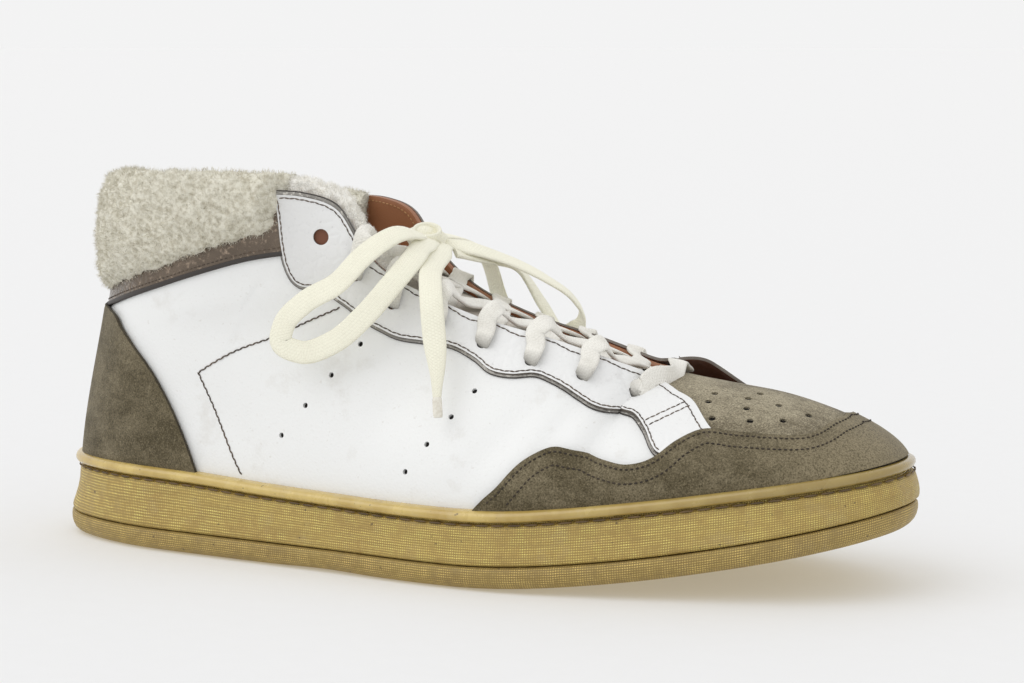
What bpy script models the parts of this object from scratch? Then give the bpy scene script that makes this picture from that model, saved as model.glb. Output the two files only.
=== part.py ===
"""High-top sneaker, right shoe, standing on its sole.

Shoe axes: x runs from the heel to the toe, y to the medial (inner) side, z up. The origin is
in the middle of the sole's length and width, on the ground. Sizes below are millimetres.
"""

import math
from collections import namedtuple

import bmesh
import bpy
import numpy as np
from mathutils import Vector

MM = 0.001

# Sole
SOLE_LENGTH = 300.0
TOE_SPRING = 21.0
SPRING_START = 165.0
SPRING_POWER = 1.7
ARCH_LIFT = 0.8
ARCH_START = 95.0
ARCH_END = 140.0
HEEL_LIFT = 1.5
HEEL_LIFT_RUN = 12.0
PARTING_HEIGHT = 7.6
WELT_HEIGHT = 5.0
CUP_WALL = 4.2
CUP_FLOOR = 12.0
GROOVE_WIDTH = 3.2
GROOVE_DEPTH = 1.8
GROOVE_PITCH = 17.0
GROOVE_FIRST = 28.0
GROOVE_LAST = 270.0
GROOVE_MARGIN = 12.0
GROOVE_SWEEP = 0.25
INSOLE_THICKNESS = 4.0
INSOLE_ROUNDING = 1.5

# Upper
UPPER_WALL = 2.2
OVERLAY_WALL = 1.4
FIT_GAP = 0.3
OVERLAY_GAP = 0.5
SUEDE_GAP = 0.9
THROAT_FRONT = 0.69
TAB_REAR = 0.222
COLLAR_FRONT = 0.212
COLLAR_BACK_X = 18.5
COLLAR_BACK_HEIGHT = 85.0
COLLAR_SLOPE = 0.33
MEDIAL_COLLAR_DROP = 4.0
DROP_LEVEL = 75.0
DROP_RANGE = 40.0
FOOT_ROWS = 8
BACK_RIBS = 11
MIDDLE_RIBS = 15
FRONT_RIBS = 13

# Overlays: stations as shares of the sole's length, heights on the ribs
OVERLAY_ROWS = 5
TOE_CAP_REAR = 0.592
TOE_CAP_FOOT = 0.03
TOE_CAP_COLUMNS = 18
COUNTER_ROWS = 7
COUNTER_COLUMNS = 19
STAY_REAR = 0.219
STAY_TAB = 0.27
STAY_FRONT = 0.803
TAB_COLUMNS = 6
STAY_COLUMNS = 24

# Tongue and shearling
TONGUE_THICKNESS = 3.0
TONGUE_FRONT = 0.72
TONGUE_TOP = 0.29
TONGUE_SIDE = 0.88
TONGUE_CLEARANCE = 1.5
TONGUE_ARCH = 0.24
TONGUE_ROWS = 13
TONGUE_COLUMNS = 9
SHEARLING_TOP = 127.5
SHEARLING_TOP_BACK = 125.0
SHEARLING_HALF_THICKNESS = 6.5
SHEARLING_BACK_RUN = 60.0
SHEARLING_GAP_TO_TAB = 0.004
ROLL_SIDES = 12
ROLL_RINGS = 9
ROLL_END_SHARES = (0.45, 0.85)
ROLL_FULLNESS = 0.7

# Laces
LACE_WIDTH = 7.5
LACE_THICKNESS = 1.4
LACE_LIFT = 0.9
LACE_OVER_EDGE = 3.8
LACE_OVER_TONGUE = 2.4
LACE_CROSSING = 0.6
LACE_FRONT = 0.645
BAR_ALONG = 0.71
BAR_LIFT = 2.4
CORD_RADIUS = 1.6
KNOT_RADIUS = 3.0
CORD_STEP = 9.0

HOLE_MARGIN = 0.02
BAR_HEIGHTS = (0.72, 0.82, 0.92)

SHARP_ANGLE = math.radians(35.0)
RIM_LEDGE = CUP_WALL + FIT_GAP
LATERAL = -1
MEDIAL = 1

# Half widths of the sole from the line between heel and toe, at a share of its length.
OutlineRow = namedtuple("OutlineRow", "along lateral medial")
SOLE_OUTLINE = (
    OutlineRow(0.00, 0.0, 0.0),
    OutlineRow(0.02, 18.0, 18.0),
    OutlineRow(0.06, 27.5, 27.0),
    OutlineRow(0.14, 37.0, 35.5),
    OutlineRow(0.25, 42.0, 38.5),
    OutlineRow(0.40, 47.5, 38.5),
    OutlineRow(0.52, 53.0, 43.5),
    OutlineRow(0.61, 54.0, 49.5),
    OutlineRow(0.71, 49.5, 54.0),
    OutlineRow(0.82, 42.0, 52.0),
    OutlineRow(0.90, 35.0, 44.0),
    OutlineRow(0.96, 24.5, 30.5),
    OutlineRow(1.00, 0.0, 0.0),
)

# Sides of the sole's layers, from the outline inwards: heights over the ground, depths under the rim.
ProfileRow = namedtuple("ProfileRow", "inset height")
OUTSOLE_SIDE = (
    ProfileRow(5.0, 0.0),
    ProfileRow(2.2, 0.9),
    ProfileRow(0.8, 2.6),
    ProfileRow(0.2, 5.0),
    ProfileRow(0.7, PARTING_HEIGHT - FIT_GAP),
)
MIDSOLE_SIDE = (
    ProfileRow(0.9, PARTING_HEIGHT),
    ProfileRow(0.25, PARTING_HEIGHT + 1.4),
    ProfileRow(1.0, 14.0),
)
DepthRow = namedtuple("DepthRow", "inset depth")
MIDSOLE_EDGE = (
    DepthRow(2.2, WELT_HEIGHT + FIT_GAP),
    DepthRow(CUP_WALL, WELT_HEIGHT + FIT_GAP),
)
WELT_SIDE = (
    DepthRow(2.4, WELT_HEIGHT),
    DepthRow(0.7, 3.6),
    DepthRow(0.8, 1.6),
    DepthRow(2.2, 0.2),
    DepthRow(CUP_WALL, 0.0),
    DepthRow(CUP_WALL, WELT_HEIGHT),
)

# Height of the sole's rim over its underside.
RimRow = namedtuple("RimRow", "along height")
RIM_HEIGHT = (
    RimRow(0.00, 28.2),
    RimRow(0.10, 28.6),
    RimRow(0.20, 28.3),
    RimRow(0.32, 26.6),
    RimRow(0.45, 25.4),
    RimRow(0.60, 25.2),
    RimRow(0.75, 25.4),
    RimRow(0.87, 24.4),
    RimRow(1.00, 21.5),
)

# Ribs of the last from the toe to the heel. Each rib leaves the rim at a share of the sole's
# length and ends at top_x, top_z. Its lower handle rises and swells outwards, its upper
# handle reaches outwards from the top and drops. centre is the middle line between the sides.
RibRow = namedtuple("RibRow", "along top_x top_z centre rise swell reach drop")
RIBS = (
    RibRow(1.000, 268.0, 58.0, 3.0, 10.0, 0.5, 17.0, 1.6),
    RibRow(0.962, 259.0, 59.0, 3.5, 10.0, 0.5, 20.0, 1.5),
    RibRow(0.900, 249.0, 60.2, 4.0, 11.0, 0.8, 20.0, 1.1),
    RibRow(0.820, 238.0, 61.3, 4.0, 12.0, 1.0, 22.0, 0.5),
    RibRow(0.750, 229.0, 62.6, 4.0, 13.0, 1.0, 24.0, 0.0),
    RibRow(0.690, 220.0, 64.2, 4.0, 15.0, 1.5, 22.0, 0.0),
    RibRow(0.630, 209.0, 66.5, 4.0, 17.0, 2.0, 14.0, 3.5),
    RibRow(0.550, 188.0, 73.6, 3.5, 20.0, 2.0, 12.0, 8.0),
    RibRow(0.470, 162.0, 81.0, 3.0, 22.0, 2.0, 10.0, 13.0),
    RibRow(0.400, 140.0, 91.0, 2.0, 24.0, 1.5, 8.0, 18.0),
    RibRow(0.330, 125.0, 105.0, 1.0, 26.0, 1.0, 5.0, 24.0),
    RibRow(0.285, 117.0, 116.5, 0.0, 27.0, 1.0, 3.0, 26.0),
    RibRow(0.245, 106.0, 120.3, 0.0, 28.0, 1.0, 1.0, 27.0),
    RibRow(0.210, 94.0, 120.8, 0.0, 28.0, 1.0, 0.0, 28.0),
    RibRow(0.150, 72.0, 118.0, 0.0, 27.0, 1.0, -1.0, 28.0),
    RibRow(0.095, 49.0, 113.0, 0.0, 26.0, 0.5, -1.0, 27.0),
    RibRow(0.040, 29.0, 108.0, 0.0, 25.0, -1.2, 0.5, 26.0),
    RibRow(0.000, 21.0, 105.0, 0.0, 25.0, -2.2, 1.0, 26.0),
)

# Distance of the upper's top edge from its middle line: closed at the throat's front.
SpreadRow = namedtuple("SpreadRow", "along lateral medial")
SPREAD = (
    SpreadRow(0.690, 0.0, 0.0),
    SpreadRow(0.672, 9.5, 9.0),
    SpreadRow(0.630, 18.5, 15.5),
    SpreadRow(0.550, 24.5, 16.5),
    SpreadRow(0.470, 28.0, 18.0),
    SpreadRow(0.400, 30.0, 21.0),
    SpreadRow(0.330, 31.0, 24.0),
    SpreadRow(0.285, 31.0, 26.0),
    SpreadRow(0.245, 33.0, 28.0),
    SpreadRow(0.210, 35.0, 31.0),
    SpreadRow(0.150, 37.0, 35.0),
    SpreadRow(0.095, 33.5, 32.0),
    SpreadRow(0.040, 20.5, 20.0),
    SpreadRow(0.000, 0.0, 0.0),
)

# Borders of the overlays: height on a rib, from 0 at the rim to 1 at the rib's end.
BorderRow = namedtuple("BorderRow", "along height")
TOE_CAP_WAVE = (
    BorderRow(0.582, 0.02),
    BorderRow(0.603, 0.13),
    BorderRow(0.622, 0.27),
    BorderRow(0.650, 0.345),
    BorderRow(0.700, 0.285),
    BorderRow(0.740, 0.245),
    BorderRow(0.768, 0.30),
    BorderRow(0.803, 0.44),
    BorderRow(0.920, 0.41),
    BorderRow(1.000, 0.62),
)
COUNTER_FRONT = (
    BorderRow(0.220, 0.02),
    BorderRow(0.175, 0.22),
    BorderRow(0.105, 0.46),
    BorderRow(0.048, 0.635),
)
EYESTAY_BORDER = (
    BorderRow(0.216, 1.00),
    BorderRow(0.226, 0.90),
    BorderRow(0.245, 0.76),
    BorderRow(0.270, 0.69),
    BorderRow(0.325, 0.75),
    BorderRow(0.395, 0.755),
    BorderRow(0.420, 0.745),
    BorderRow(0.470, 0.79),
    BorderRow(0.522, 0.705),
    BorderRow(0.568, 0.74),
    BorderRow(0.640, 0.645),
    BorderRow(0.705, 0.57),
    BorderRow(0.740, 0.47),
    BorderRow(0.772, 0.35),
    BorderRow(0.803, 0.47),
)
EYESTAY_EDGE = (
    BorderRow(0.216, 1.00),
    BorderRow(0.660, 1.00),
    BorderRow(0.690, 0.87),
    BorderRow(0.745, 0.76),
    BorderRow(0.782, 0.67),
    BorderRow(0.803, 0.53),
)

# Eyelet pairs from the throat's front to the top of the tab.
EYELETS = (
    BorderRow(0.693, 0.685),
    BorderRow(0.610, 0.820),
    BorderRow(0.550, 0.830),
    BorderRow(0.495, 0.875),
    BorderRow(0.445, 0.905),
    BorderRow(0.395, 0.900),
    BorderRow(0.335, 0.880),
    BorderRow(0.273, 0.870),
)
LACED_PAIRS = 7

# A strand's places over the tongue: share of the way across, and quarters of the way to the pair below.
StrandRow = namedtuple("StrandRow", "across quarters")
STRAND = (StrandRow(0.30, 1.1), StrandRow(0.47, 1.9), StrandRow(0.60, 2.5))

# Routes of the bow's cords, as points (x, y, z) from the heel.
KNOT = ((130.5, -6.5, 104.9), (134.0, -3.5, 106.9), (137.0, -0.5, 105.9), (139.0, 2.0, 103.9))
LOOP_NEAR = (
    (136.5, -7.3, 106.3), (135.3, -25.0, 108.5), (130.0, -40.0, 102.0), (123.0, -43.5, 93.8),
    (113.0, -47.0, 87.5), (106.0, -48.0, 80.0), (105.0, -48.0, 74.3), (111.0, -47.0, 71.5),
    (122.5, -46.0, 75.0), (133.0, -44.0, 84.0), (140.0, -38.0, 94.0), (142.0, -27.0, 101.0),
    (140.5, -17.0, 104.0), (139.6, -5.2, 104.4),
)
END_NEAR = (
    (142.2, -1.5, 102.9), (144.5, -11.5, 101.0), (147.5, -25.0, 97.5), (153.5, -38.0, 89.0), (156.3, -42.0, 78.7),
    (158.7, -45.0, 68.0), (159.6, -47.0, 59.4), (160.4, -48.0, 53.3),
)
LOOP_FAR = (
    (139.6, 2.6, 103.5), (147.0, 6.5, 102.0), (152.0, 10.5, 100.0), (159.0, 16.0, 96.7),
    (169.0, 21.0, 91.0), (176.0, 25.5, 85.0), (178.5, 28.5, 79.3), (176.0, 31.0, 73.5),
    (168.5, 34.0, 73.0), (162.0, 34.0, 81.0), (157.0, 28.5, 91.5), (152.5, 14.5, 98.0),
    (144.0, 1.5, 100.8),
)
END_FAR = (
    (134.6, 3.6, 105.3), (136.5, 10.5, 105.2), (139.0, 18.5, 103.5), (143.5, 28.5, 96.5), (147.0, 31.0, 84.0),
    (149.5, 34.5, 74.0), (151.0, 37.0, 64.0), (152.0, 39.0, 56.0),
)


def smooth(knots, values, at, level_ends=False):
    """Cubic curve through the knots, its slopes taken from the neighbours or level at the ends."""
    order = np.argsort(knots)
    knots = np.asarray(knots, float)[order]
    values = np.asarray(values, float)[order]
    at = np.clip(np.asarray(at, float), knots[0], knots[-1])
    gap = np.diff(knots)
    secant = np.diff(values) / gap
    slope = np.empty_like(values)
    slope[1:-1] = (secant[:-1] * gap[1:] + secant[1:] * gap[:-1]) / (gap[1:] + gap[:-1])
    slope[0] = 0.0 if level_ends else 1.5 * secant[0] - 0.5 * slope[1]
    slope[-1] = 0.0 if level_ends else 1.5 * secant[-1] - 0.5 * slope[-2]
    cell = np.clip(np.searchsorted(knots, at, side="right") - 1, 0, len(knots) - 2)
    u = (at - knots[cell]) / gap[cell]
    start = (2 * u**3 - 3 * u**2 + 1) * values[cell] + (u**3 - 2 * u**2 + u) * gap[cell] * slope[cell]
    end = (3 * u**2 - 2 * u**3) * values[cell + 1] + (u**3 - u**2) * gap[cell] * slope[cell + 1]
    return start + end


def column(rows, name):
    """One column of a table."""
    return [getattr(row, name) for row in rows]


def station(along):
    """Even step round the sole's edge for a share of the length: 0 at the heel, 1 at the toe."""
    return np.arccos(1.0 - 2.0 * np.asarray(along, float)) / math.pi


def border(rows, t):
    """Height of an overlay's border on the rib at station t."""
    return smooth(station(column(rows, "along")), column(rows, "height"), t)


def ground_line(x):
    """Underside of the sole: flat heel and forefoot, lifted arch, sprung toe."""
    x = np.asarray(x, float)
    toe = np.clip((x - SPRING_START) / (SOLE_LENGTH - SPRING_START), 0.0, None)
    arch = np.clip((x - ARCH_START) / (ARCH_END - ARCH_START), 0.0, 1.0)
    heel = np.clip((HEEL_LIFT_RUN - x) / HEEL_LIFT_RUN, 0.0, None)
    lift = ARCH_LIFT * np.sin(math.pi * arch) ** 2 + HEEL_LIFT * heel**2
    return TOE_SPRING * toe**SPRING_POWER + lift


def rim_line(x):
    """Top of the sole's rim."""
    share = np.asarray(x, float) / SOLE_LENGTH
    return ground_line(x) + smooth(column(RIM_HEIGHT, "along"), column(RIM_HEIGHT, "height"), share)


def outline(side, t, inset=0.0):
    """Plan points of the sole's edge on one side, moved inwards, and the outward direction."""
    t = np.asarray(t, float)
    knots = station(column(SOLE_OUTLINE, "along"))
    widths = column(SOLE_OUTLINE, "lateral" if side == LATERAL else "medial")

    def edge(u):
        x = SOLE_LENGTH * (1.0 - np.cos(math.pi * u)) / 2.0
        return np.stack([x, side * smooth(knots, widths, u)], -1)

    step = 1e-4
    tangent = edge(np.minimum(t + step, 1.0)) - edge(np.maximum(t - step, 0.0))
    outward = side * np.stack([-tangent[..., 1], tangent[..., 0]], -1)
    outward[t <= 0.0] = (-1.0, 0.0)
    outward[t >= 1.0] = (1.0, 0.0)
    outward /= np.linalg.norm(outward, axis=-1, keepdims=True)
    return edge(t) - inset * outward, outward


def ease(share):
    """Step from 0 to 1 that starts and ends level."""
    share = np.clip(share, 0.0, 1.0)
    return share * share * (3.0 - 2.0 * share)


def medial_drop(side, t, z):
    """How much lower the medial collar lies than the lateral one, from nothing at the heel's back."""
    drop = MEDIAL_COLLAR_DROP if side == MEDIAL else 0.0
    return drop * ease((z - DROP_LEVEL) / DROP_RANGE) * ease(t / station(TAB_REAR))


def rib_column(name, t):
    """Value of one column of the ribs' table at station t."""
    return smooth(station(column(RIBS, "along")), column(RIBS, name), t, level_ends=True)


def rib_ends(side, t):
    """Foot of each rib on the rim, its top and the outward direction at the rim."""
    top_x = rib_column("top_x", t)
    top_z = rib_column("top_z", t)
    spread_knots = station(column(SPREAD, "along"))
    spread = smooth(spread_knots, column(SPREAD, "lateral" if side == LATERAL else "medial"), t)
    spread = np.where(t >= station(THROAT_FRONT), 0.0, spread)
    top_y = rib_column("centre", t) + side * spread
    top = np.stack([top_x, top_y, top_z - medial_drop(side, t, top_z)], -1)
    plan, outward = outline(side, t, RIM_LEDGE)
    foot = np.concatenate([plan, rim_line(plan[..., 0])[..., None]], -1)
    return foot, top, outward


def last_point(side, t, v):
    """Point of the last on the rib at station t, at height v from rim (0) to rib's end (1)."""
    t, v = np.broadcast_arrays(np.asarray(t, float), np.asarray(v, float))
    foot, top, outward = rib_ends(side, t)
    rise, swell, reach, drop = (rib_column(name, t)[..., None] for name in ("rise", "swell", "reach", "drop"))
    lower = foot + np.concatenate([outward * swell, rise], -1)
    away = (foot - top)[..., :2]
    away = away / np.linalg.norm(away, axis=-1, keepdims=True)
    upper = top + np.concatenate([away * reach, -drop], -1)
    v = v[..., None]
    w = 1.0 - v
    return w**3 * foot + 3 * v * w**2 * lower + 3 * v**2 * w * upper + v**3 * top


def collar_height(side, t, x):
    """Height of the upper's edge behind the tab, under the shearling."""
    z = COLLAR_BACK_HEIGHT + COLLAR_SLOPE * (np.asarray(x, float) - COLLAR_BACK_X)
    return z - medial_drop(side, t, z)


def edge_share(side, t):
    """Height on each rib at which the upper ends: the rib's end at throat and tab, else the collar."""
    t = np.asarray(t, float)
    low = np.zeros_like(t)
    high = np.ones_like(t)
    for _ in range(30):
        middle = (low + high) / 2.0
        point = last_point(side, t, middle)
        under = point[..., 2] < collar_height(side, t, point[..., 0])
        low = np.where(under, middle, low)
        high = np.where(under, high, middle)
    return np.where(t >= station(TAB_REAR) - 1e-9, 1.0, (low + high) / 2.0)


def rib_stations():
    """Stations of the sections, close together at the tab's rear edge."""
    back = np.linspace(0.0, station(COLLAR_FRONT), BACK_RIBS)
    middle = np.linspace(station(TAB_REAR), station(THROAT_FRONT), MIDDLE_RIBS)
    front = np.linspace(station(THROAT_FRONT), 1.0, FRONT_RIBS)[1:]
    return np.concatenate([back, middle, front])


def place(point):
    """Blender position, in metres, of a point given from the heel in millimetres."""
    return Vector(((point[0] - SOLE_LENGTH / 2.0) * MM, point[1] * MM, point[2] * MM))


def material(name, colour, roughness, metallic=0.0):
    """A plain finish."""
    finish = bpy.data.materials.new(name)
    finish.use_nodes = True
    shader = finish.node_tree.nodes["Principled BSDF"]
    shader.inputs["Base Color"].default_value = (*colour, 1.0)
    shader.inputs["Roughness"].default_value = roughness
    shader.inputs["Metallic"].default_value = metallic
    return finish


def add_object(name, data, finish=None):
    """Link a new object to the scene under its node name."""
    obj = bpy.data.objects.new(name, data)
    bpy.context.scene.collection.objects.link(obj)
    if finish is not None:
        data.materials.append(finish)
    return obj


def mesh_object(name, shape, finish=None):
    """Turn a bmesh into an object with smooth round faces."""
    mesh = bpy.data.meshes.new(name)
    shape.to_mesh(mesh)
    shape.free()
    mesh.shade_smooth()
    mesh.set_sharp_from_angle(angle=SHARP_ANGLE)
    return add_object(name, mesh, finish)


def grid_faces(shape, grid):
    """Join neighbouring vertices of a grid with faces, leaving out collapsed corners."""
    for row, following in zip(grid[:-1], grid[1:]):
        for corners in zip(row[:-1], row[1:], following[1:], following[:-1]):
            distinct = list(dict.fromkeys(corners))
            if len(distinct) > 2:
                shape.faces.new(distinct)


def solidify(obj, thickness, offset):
    """Give an open surface its wall: offset -1 inwards, +1 outwards."""
    wall = obj.modifiers.new("wall", "SOLIDIFY")
    wall.thickness = thickness * MM
    wall.offset = offset
    wall.use_even_offset = False
    wall.use_quality_normals = True


def sole_ring(shape, inset, height):
    """Closed row of vertices round the sole; height is a function of x."""
    stations = rib_stations()
    lateral = outline(LATERAL, stations, inset)[0]
    medial = outline(MEDIAL, stations[1:-1][::-1], inset)[0]
    plan = np.concatenate([lateral, medial])
    return [shape.verts.new(place((x, y, height(x)))) for x, y in plan]


def bridge(shape, ring, following):
    """Faces between two rings of the sole."""
    count = len(ring)
    for index in range(count):
        after = (index + 1) % count
        shape.faces.new((ring[index], ring[after], following[after], following[index]))


def cap(shape, ring):
    """Close a ring of the sole with strips from side to side."""
    half = len(rib_stations())
    count = len(ring)
    for index in range(half - 1):
        corners = (ring[index], ring[index + 1], ring[(count - index - 1) % count], ring[-index])
        shape.faces.new(list(dict.fromkeys(corners)))


def sole_layer(name, profile, finish, closed=False):
    """A layer of the sole from rows of (inset, height function), from its underside round."""
    shape = bmesh.new()
    rings = [sole_ring(shape, inset, height) for inset, height in profile]
    for ring, following in zip(rings[:-1], rings[1:]):
        bridge(shape, ring, following)
    if closed:
        bridge(shape, rings[-1], rings[0])
    else:
        cap(shape, rings[0])
        cap(shape, rings[-1])
    bmesh.ops.recalc_face_normals(shape, faces=shape.faces)
    return mesh_object(name, shape, finish)


def over_ground(rows):
    """Profile whose heights are measured over the sole's underside."""
    return [(row.inset, lambda x, row=row: ground_line(x) + row.height) for row in rows]


def below_rim(rows):
    """Profile whose depths are measured under the rim's top."""
    return [(row.inset, lambda x, row=row: rim_line(x) - row.depth) for row in rows]


def tread_cutter():
    """Chevron grooves between the sole's lugs, as one cutting form."""
    shape = bmesh.new()
    for x in np.arange(GROOVE_FIRST, GROOVE_LAST, GROOVE_PITCH):
        t = station(x / SOLE_LENGTH)
        half = [abs(outline(side, np.array([t]))[0][0, 1]) - GROOVE_MARGIN for side in (LATERAL, MEDIAL)]
        top = float(ground_line(x)) + GROOVE_DEPTH
        rows = []
        for y in (-half[0], 0.0, half[1]):
            middle = x - GROOVE_SWEEP * abs(y)
            low = min(float(ground_line(middle)), top - GROOVE_DEPTH) - GROOVE_DEPTH
            lift = float(ground_line(middle)) + GROOVE_DEPTH
            rows.append([shape.verts.new(place((middle + dx, y, z)))
                         for dx, z in ((-GROOVE_WIDTH / 2, low), (GROOVE_WIDTH / 2, low),
                                       (GROOVE_WIDTH / 2, lift), (-GROOVE_WIDTH / 2, lift))])
        for row, following in zip(rows[:-1], rows[1:]):
            bridge(shape, row, following)
        shape.faces.new(rows[0])
        shape.faces.new(rows[-1])
    bmesh.ops.recalc_face_normals(shape, faces=shape.faces)
    cutter = mesh_object("tread_cutter", shape)
    cutter.hide_render = True
    cutter.display_type = "WIRE"
    return cutter


def build_sole(rubber, welt_rubber, lining):
    """Outsole with lugs, cupped midsole, stitched welt and insole."""
    outsole = sole_layer("outsole", over_ground(OUTSOLE_SIDE), rubber)
    grooves = outsole.modifiers.new("grooves", "BOOLEAN")
    grooves.operation = "DIFFERENCE"
    grooves.object = tread_cutter()
    cup_floor = ProfileRow(CUP_WALL, CUP_FLOOR)
    cup = [*over_ground(MIDSOLE_SIDE), *below_rim(MIDSOLE_EDGE), *over_ground((cup_floor,))]
    sole_layer("midsole", cup, rubber)
    sole_layer("welt", below_rim(WELT_SIDE), welt_rubber, closed=True)
    inset = RIM_LEDGE + UPPER_WALL + OVERLAY_GAP
    top = CUP_FLOOR + INSOLE_THICKNESS
    sole_layer("insole", over_ground((
        ProfileRow(inset, CUP_FLOOR + FIT_GAP),
        ProfileRow(inset, top - INSOLE_ROUNDING / 2.0),
        ProfileRow(inset + INSOLE_ROUNDING, top),
    )), lining)


def build_upper(leather):
    """Hollow upper: ribs from the cup's floor to throat, tab and collar, joined along the vamp."""
    shape = bmesh.new()
    stations = rib_stations()
    throat = station(THROAT_FRONT) - 1e-9
    heights = np.linspace(0.0, 1.0, FOOT_ROWS + 1)
    rows = {}
    for side in (LATERAL, MEDIAL):
        shares = edge_share(side, stations)
        for index, t in enumerate(stations):
            if side == MEDIAL and index in (0, len(stations) - 1):
                rows[side, index] = rows[LATERAL, index]
                continue
            points = last_point(side, np.full(len(heights), t), heights * shares[index])
            skirt = points[0].copy()
            skirt[2] = ground_line(skirt[0]) + CUP_FLOOR + FIT_GAP
            verts = [shape.verts.new(place(point)) for point in (skirt, *points[:-1])]
            joined = side == MEDIAL and t >= throat
            verts.append(rows[LATERAL, index][-1] if joined else shape.verts.new(place(points[-1])))
            rows[side, index] = verts
    for side in (LATERAL, MEDIAL):
        grid_faces(shape, [rows[side, index] for index in range(len(stations))])
    bmesh.ops.recalc_face_normals(shape, faces=shape.faces)
    if sum(face.normal.z * face.calc_area() for face in shape.faces) < 0.0:
        bmesh.ops.reverse_faces(shape, faces=shape.faces)
    solidify(mesh_object("upper", shape, leather), UPPER_WALL, -1.0)


def overlay(name, columns, finish, gap):
    """Proud overlay between two offsets of the last; columns hold (side, station, low, high)."""
    shape = bmesh.new()
    grid = []
    for side, t, low, high in columns:
        heights = np.linspace(low, high, OVERLAY_ROWS)
        grid.append([shape.verts.new(place(point))
                     for point in last_point(side, np.full(OVERLAY_ROWS, t), heights)])
    grid_faces(shape, grid)
    shape.normal_update()
    middle = sum((vert.co for vert in shape.verts), Vector()) / len(shape.verts)
    facing = sum(face.normal.dot(face.calc_center_median() - Vector((middle.x, 0.0, 0.0)))
                 for face in shape.faces)
    if facing < 0.0:
        bmesh.ops.reverse_faces(shape, faces=shape.faces)
        shape.normal_update()
    for vert, normal in [(vert, vert.normal.copy()) for vert in shape.verts]:
        vert.co += normal * gap * MM
    solidify(mesh_object(name, shape, finish), OVERLAY_WALL, 1.0)


def build_overlays(suede, leather):
    """Toe cap, heel counter and both eyestays."""
    toe = np.linspace(station(TOE_CAP_REAR), 1.0, TOE_CAP_COLUMNS)
    route = [(LATERAL, t) for t in toe] + [(MEDIAL, t) for t in toe[-2::-1]]
    columns = [(side, t, TOE_CAP_FOOT, float(border(TOE_CAP_WAVE, t))) for side, t in route]
    overlay("toe_cap", columns, suede, SUEDE_GAP)
    build_counter(suede)
    stay = np.concatenate([np.linspace(station(STAY_REAR), station(STAY_TAB), TAB_COLUMNS),
                           np.linspace(station(STAY_TAB), station(STAY_FRONT), STAY_COLUMNS)[1:]])
    for side, name in ((LATERAL, "eyestay_lateral"), (MEDIAL, "eyestay_medial")):
        columns = []
        for t in stay:
            high = min(float(border(EYESTAY_EDGE, t)), 1.0)
            columns.append((side, t, float(border(EYESTAY_BORDER, t)), high))
        overlay(name, columns, leather, OVERLAY_GAP)


def build_counter(suede):
    """Heel counter: rows round the heel that narrow towards the collar."""
    shape = bmesh.new()
    grid = []
    edge_heights = column(COUNTER_FRONT, "height")
    heights = np.linspace(edge_heights[0], edge_heights[-1], COUNTER_ROWS)
    fronts = np.interp(heights, edge_heights, station(column(COUNTER_FRONT, "along")))
    for height, front in zip(heights, fronts):
        turns = np.linspace(-front, front, COUNTER_COLUMNS)
        grid.append([shape.verts.new(place(last_point(LATERAL if turn <= 0.0 else MEDIAL, abs(turn), height)))
                     for turn in turns])
    grid_faces(shape, grid)
    shape.normal_update()
    if sum(face.normal.x for face in shape.faces) > 0.0:
        bmesh.ops.reverse_faces(shape, faces=shape.faces)
        shape.normal_update()
    for vert, normal in [(vert, vert.normal.copy()) for vert in shape.verts]:
        vert.co += normal * SUEDE_GAP * MM
    solidify(mesh_object("heel_counter", shape, suede), OVERLAY_WALL, 1.0)


def last_normal(side, t, v):
    """Outward direction of the last's surface."""
    step = 1e-3
    along = last_point(side, min(t + step, 1.0), v) - last_point(side, max(t - step, 0.0), v)
    upward = last_point(side, t, min(v + step, 1.0)) - last_point(side, t, max(v - step, 0.0))
    normal = side * np.cross(upward, along)
    return normal / np.linalg.norm(normal)


def off_last(side, t, v, distance):
    """Point at a distance outside the last's surface."""
    return last_point(side, t, v) + distance * last_normal(side, t, v)


def tongue_point(t, across, lift=0.0):
    """Point over the tongue's face: across runs from 0 under the lateral eyestay to 1."""
    sink = -(UPPER_WALL + TONGUE_CLEARANCE)
    ends = [off_last(side, t, TONGUE_SIDE, sink) for side in (LATERAL, MEDIAL)]
    rises = [off_last(side, t, TONGUE_SIDE + 0.02, sink) - end
             for side, end in zip((LATERAL, MEDIAL), ends)]
    reach = TONGUE_ARCH * np.linalg.norm(ends[1] - ends[0])
    handles = [end + reach * rise / np.linalg.norm(rise) for end, rise in zip(ends, rises)]
    u = across
    w = 1.0 - u
    point = w**3 * ends[0] + 3 * u * w**2 * handles[0] + 3 * u**2 * w * handles[1] + u**3 * ends[1]
    if lift == 0.0:
        return point
    step = 1e-2
    over = tongue_point(t, across + step) - point
    along = point - tongue_point(t - step, across)
    normal = np.cross(along, over)
    return point + lift * normal / np.linalg.norm(normal)


def build_tongue(leather):
    """Tongue under the laces, its sides under the eyestays and its front under the vamp."""
    shape = bmesh.new()
    rows = np.linspace(station(TONGUE_TOP), station(TONGUE_FRONT), TONGUE_ROWS)
    shares = np.linspace(0.0, 1.0, TONGUE_COLUMNS)
    grid = [[shape.verts.new(place(tongue_point(t, across))) for across in shares] for t in rows]
    grid_faces(shape, grid)
    shape.normal_update()
    if sum(face.normal.z for face in shape.faces) < 0.0:
        bmesh.ops.reverse_faces(shape, faces=shape.faces)
    solidify(mesh_object("tongue", shape, leather), TONGUE_THICKNESS, -1.0)


def run_lengths(route):
    """Distance from a route's start to each of its points."""
    return np.concatenate([[0.0], np.cumsum(np.linalg.norm(np.diff(route, axis=0), axis=1))])


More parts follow.
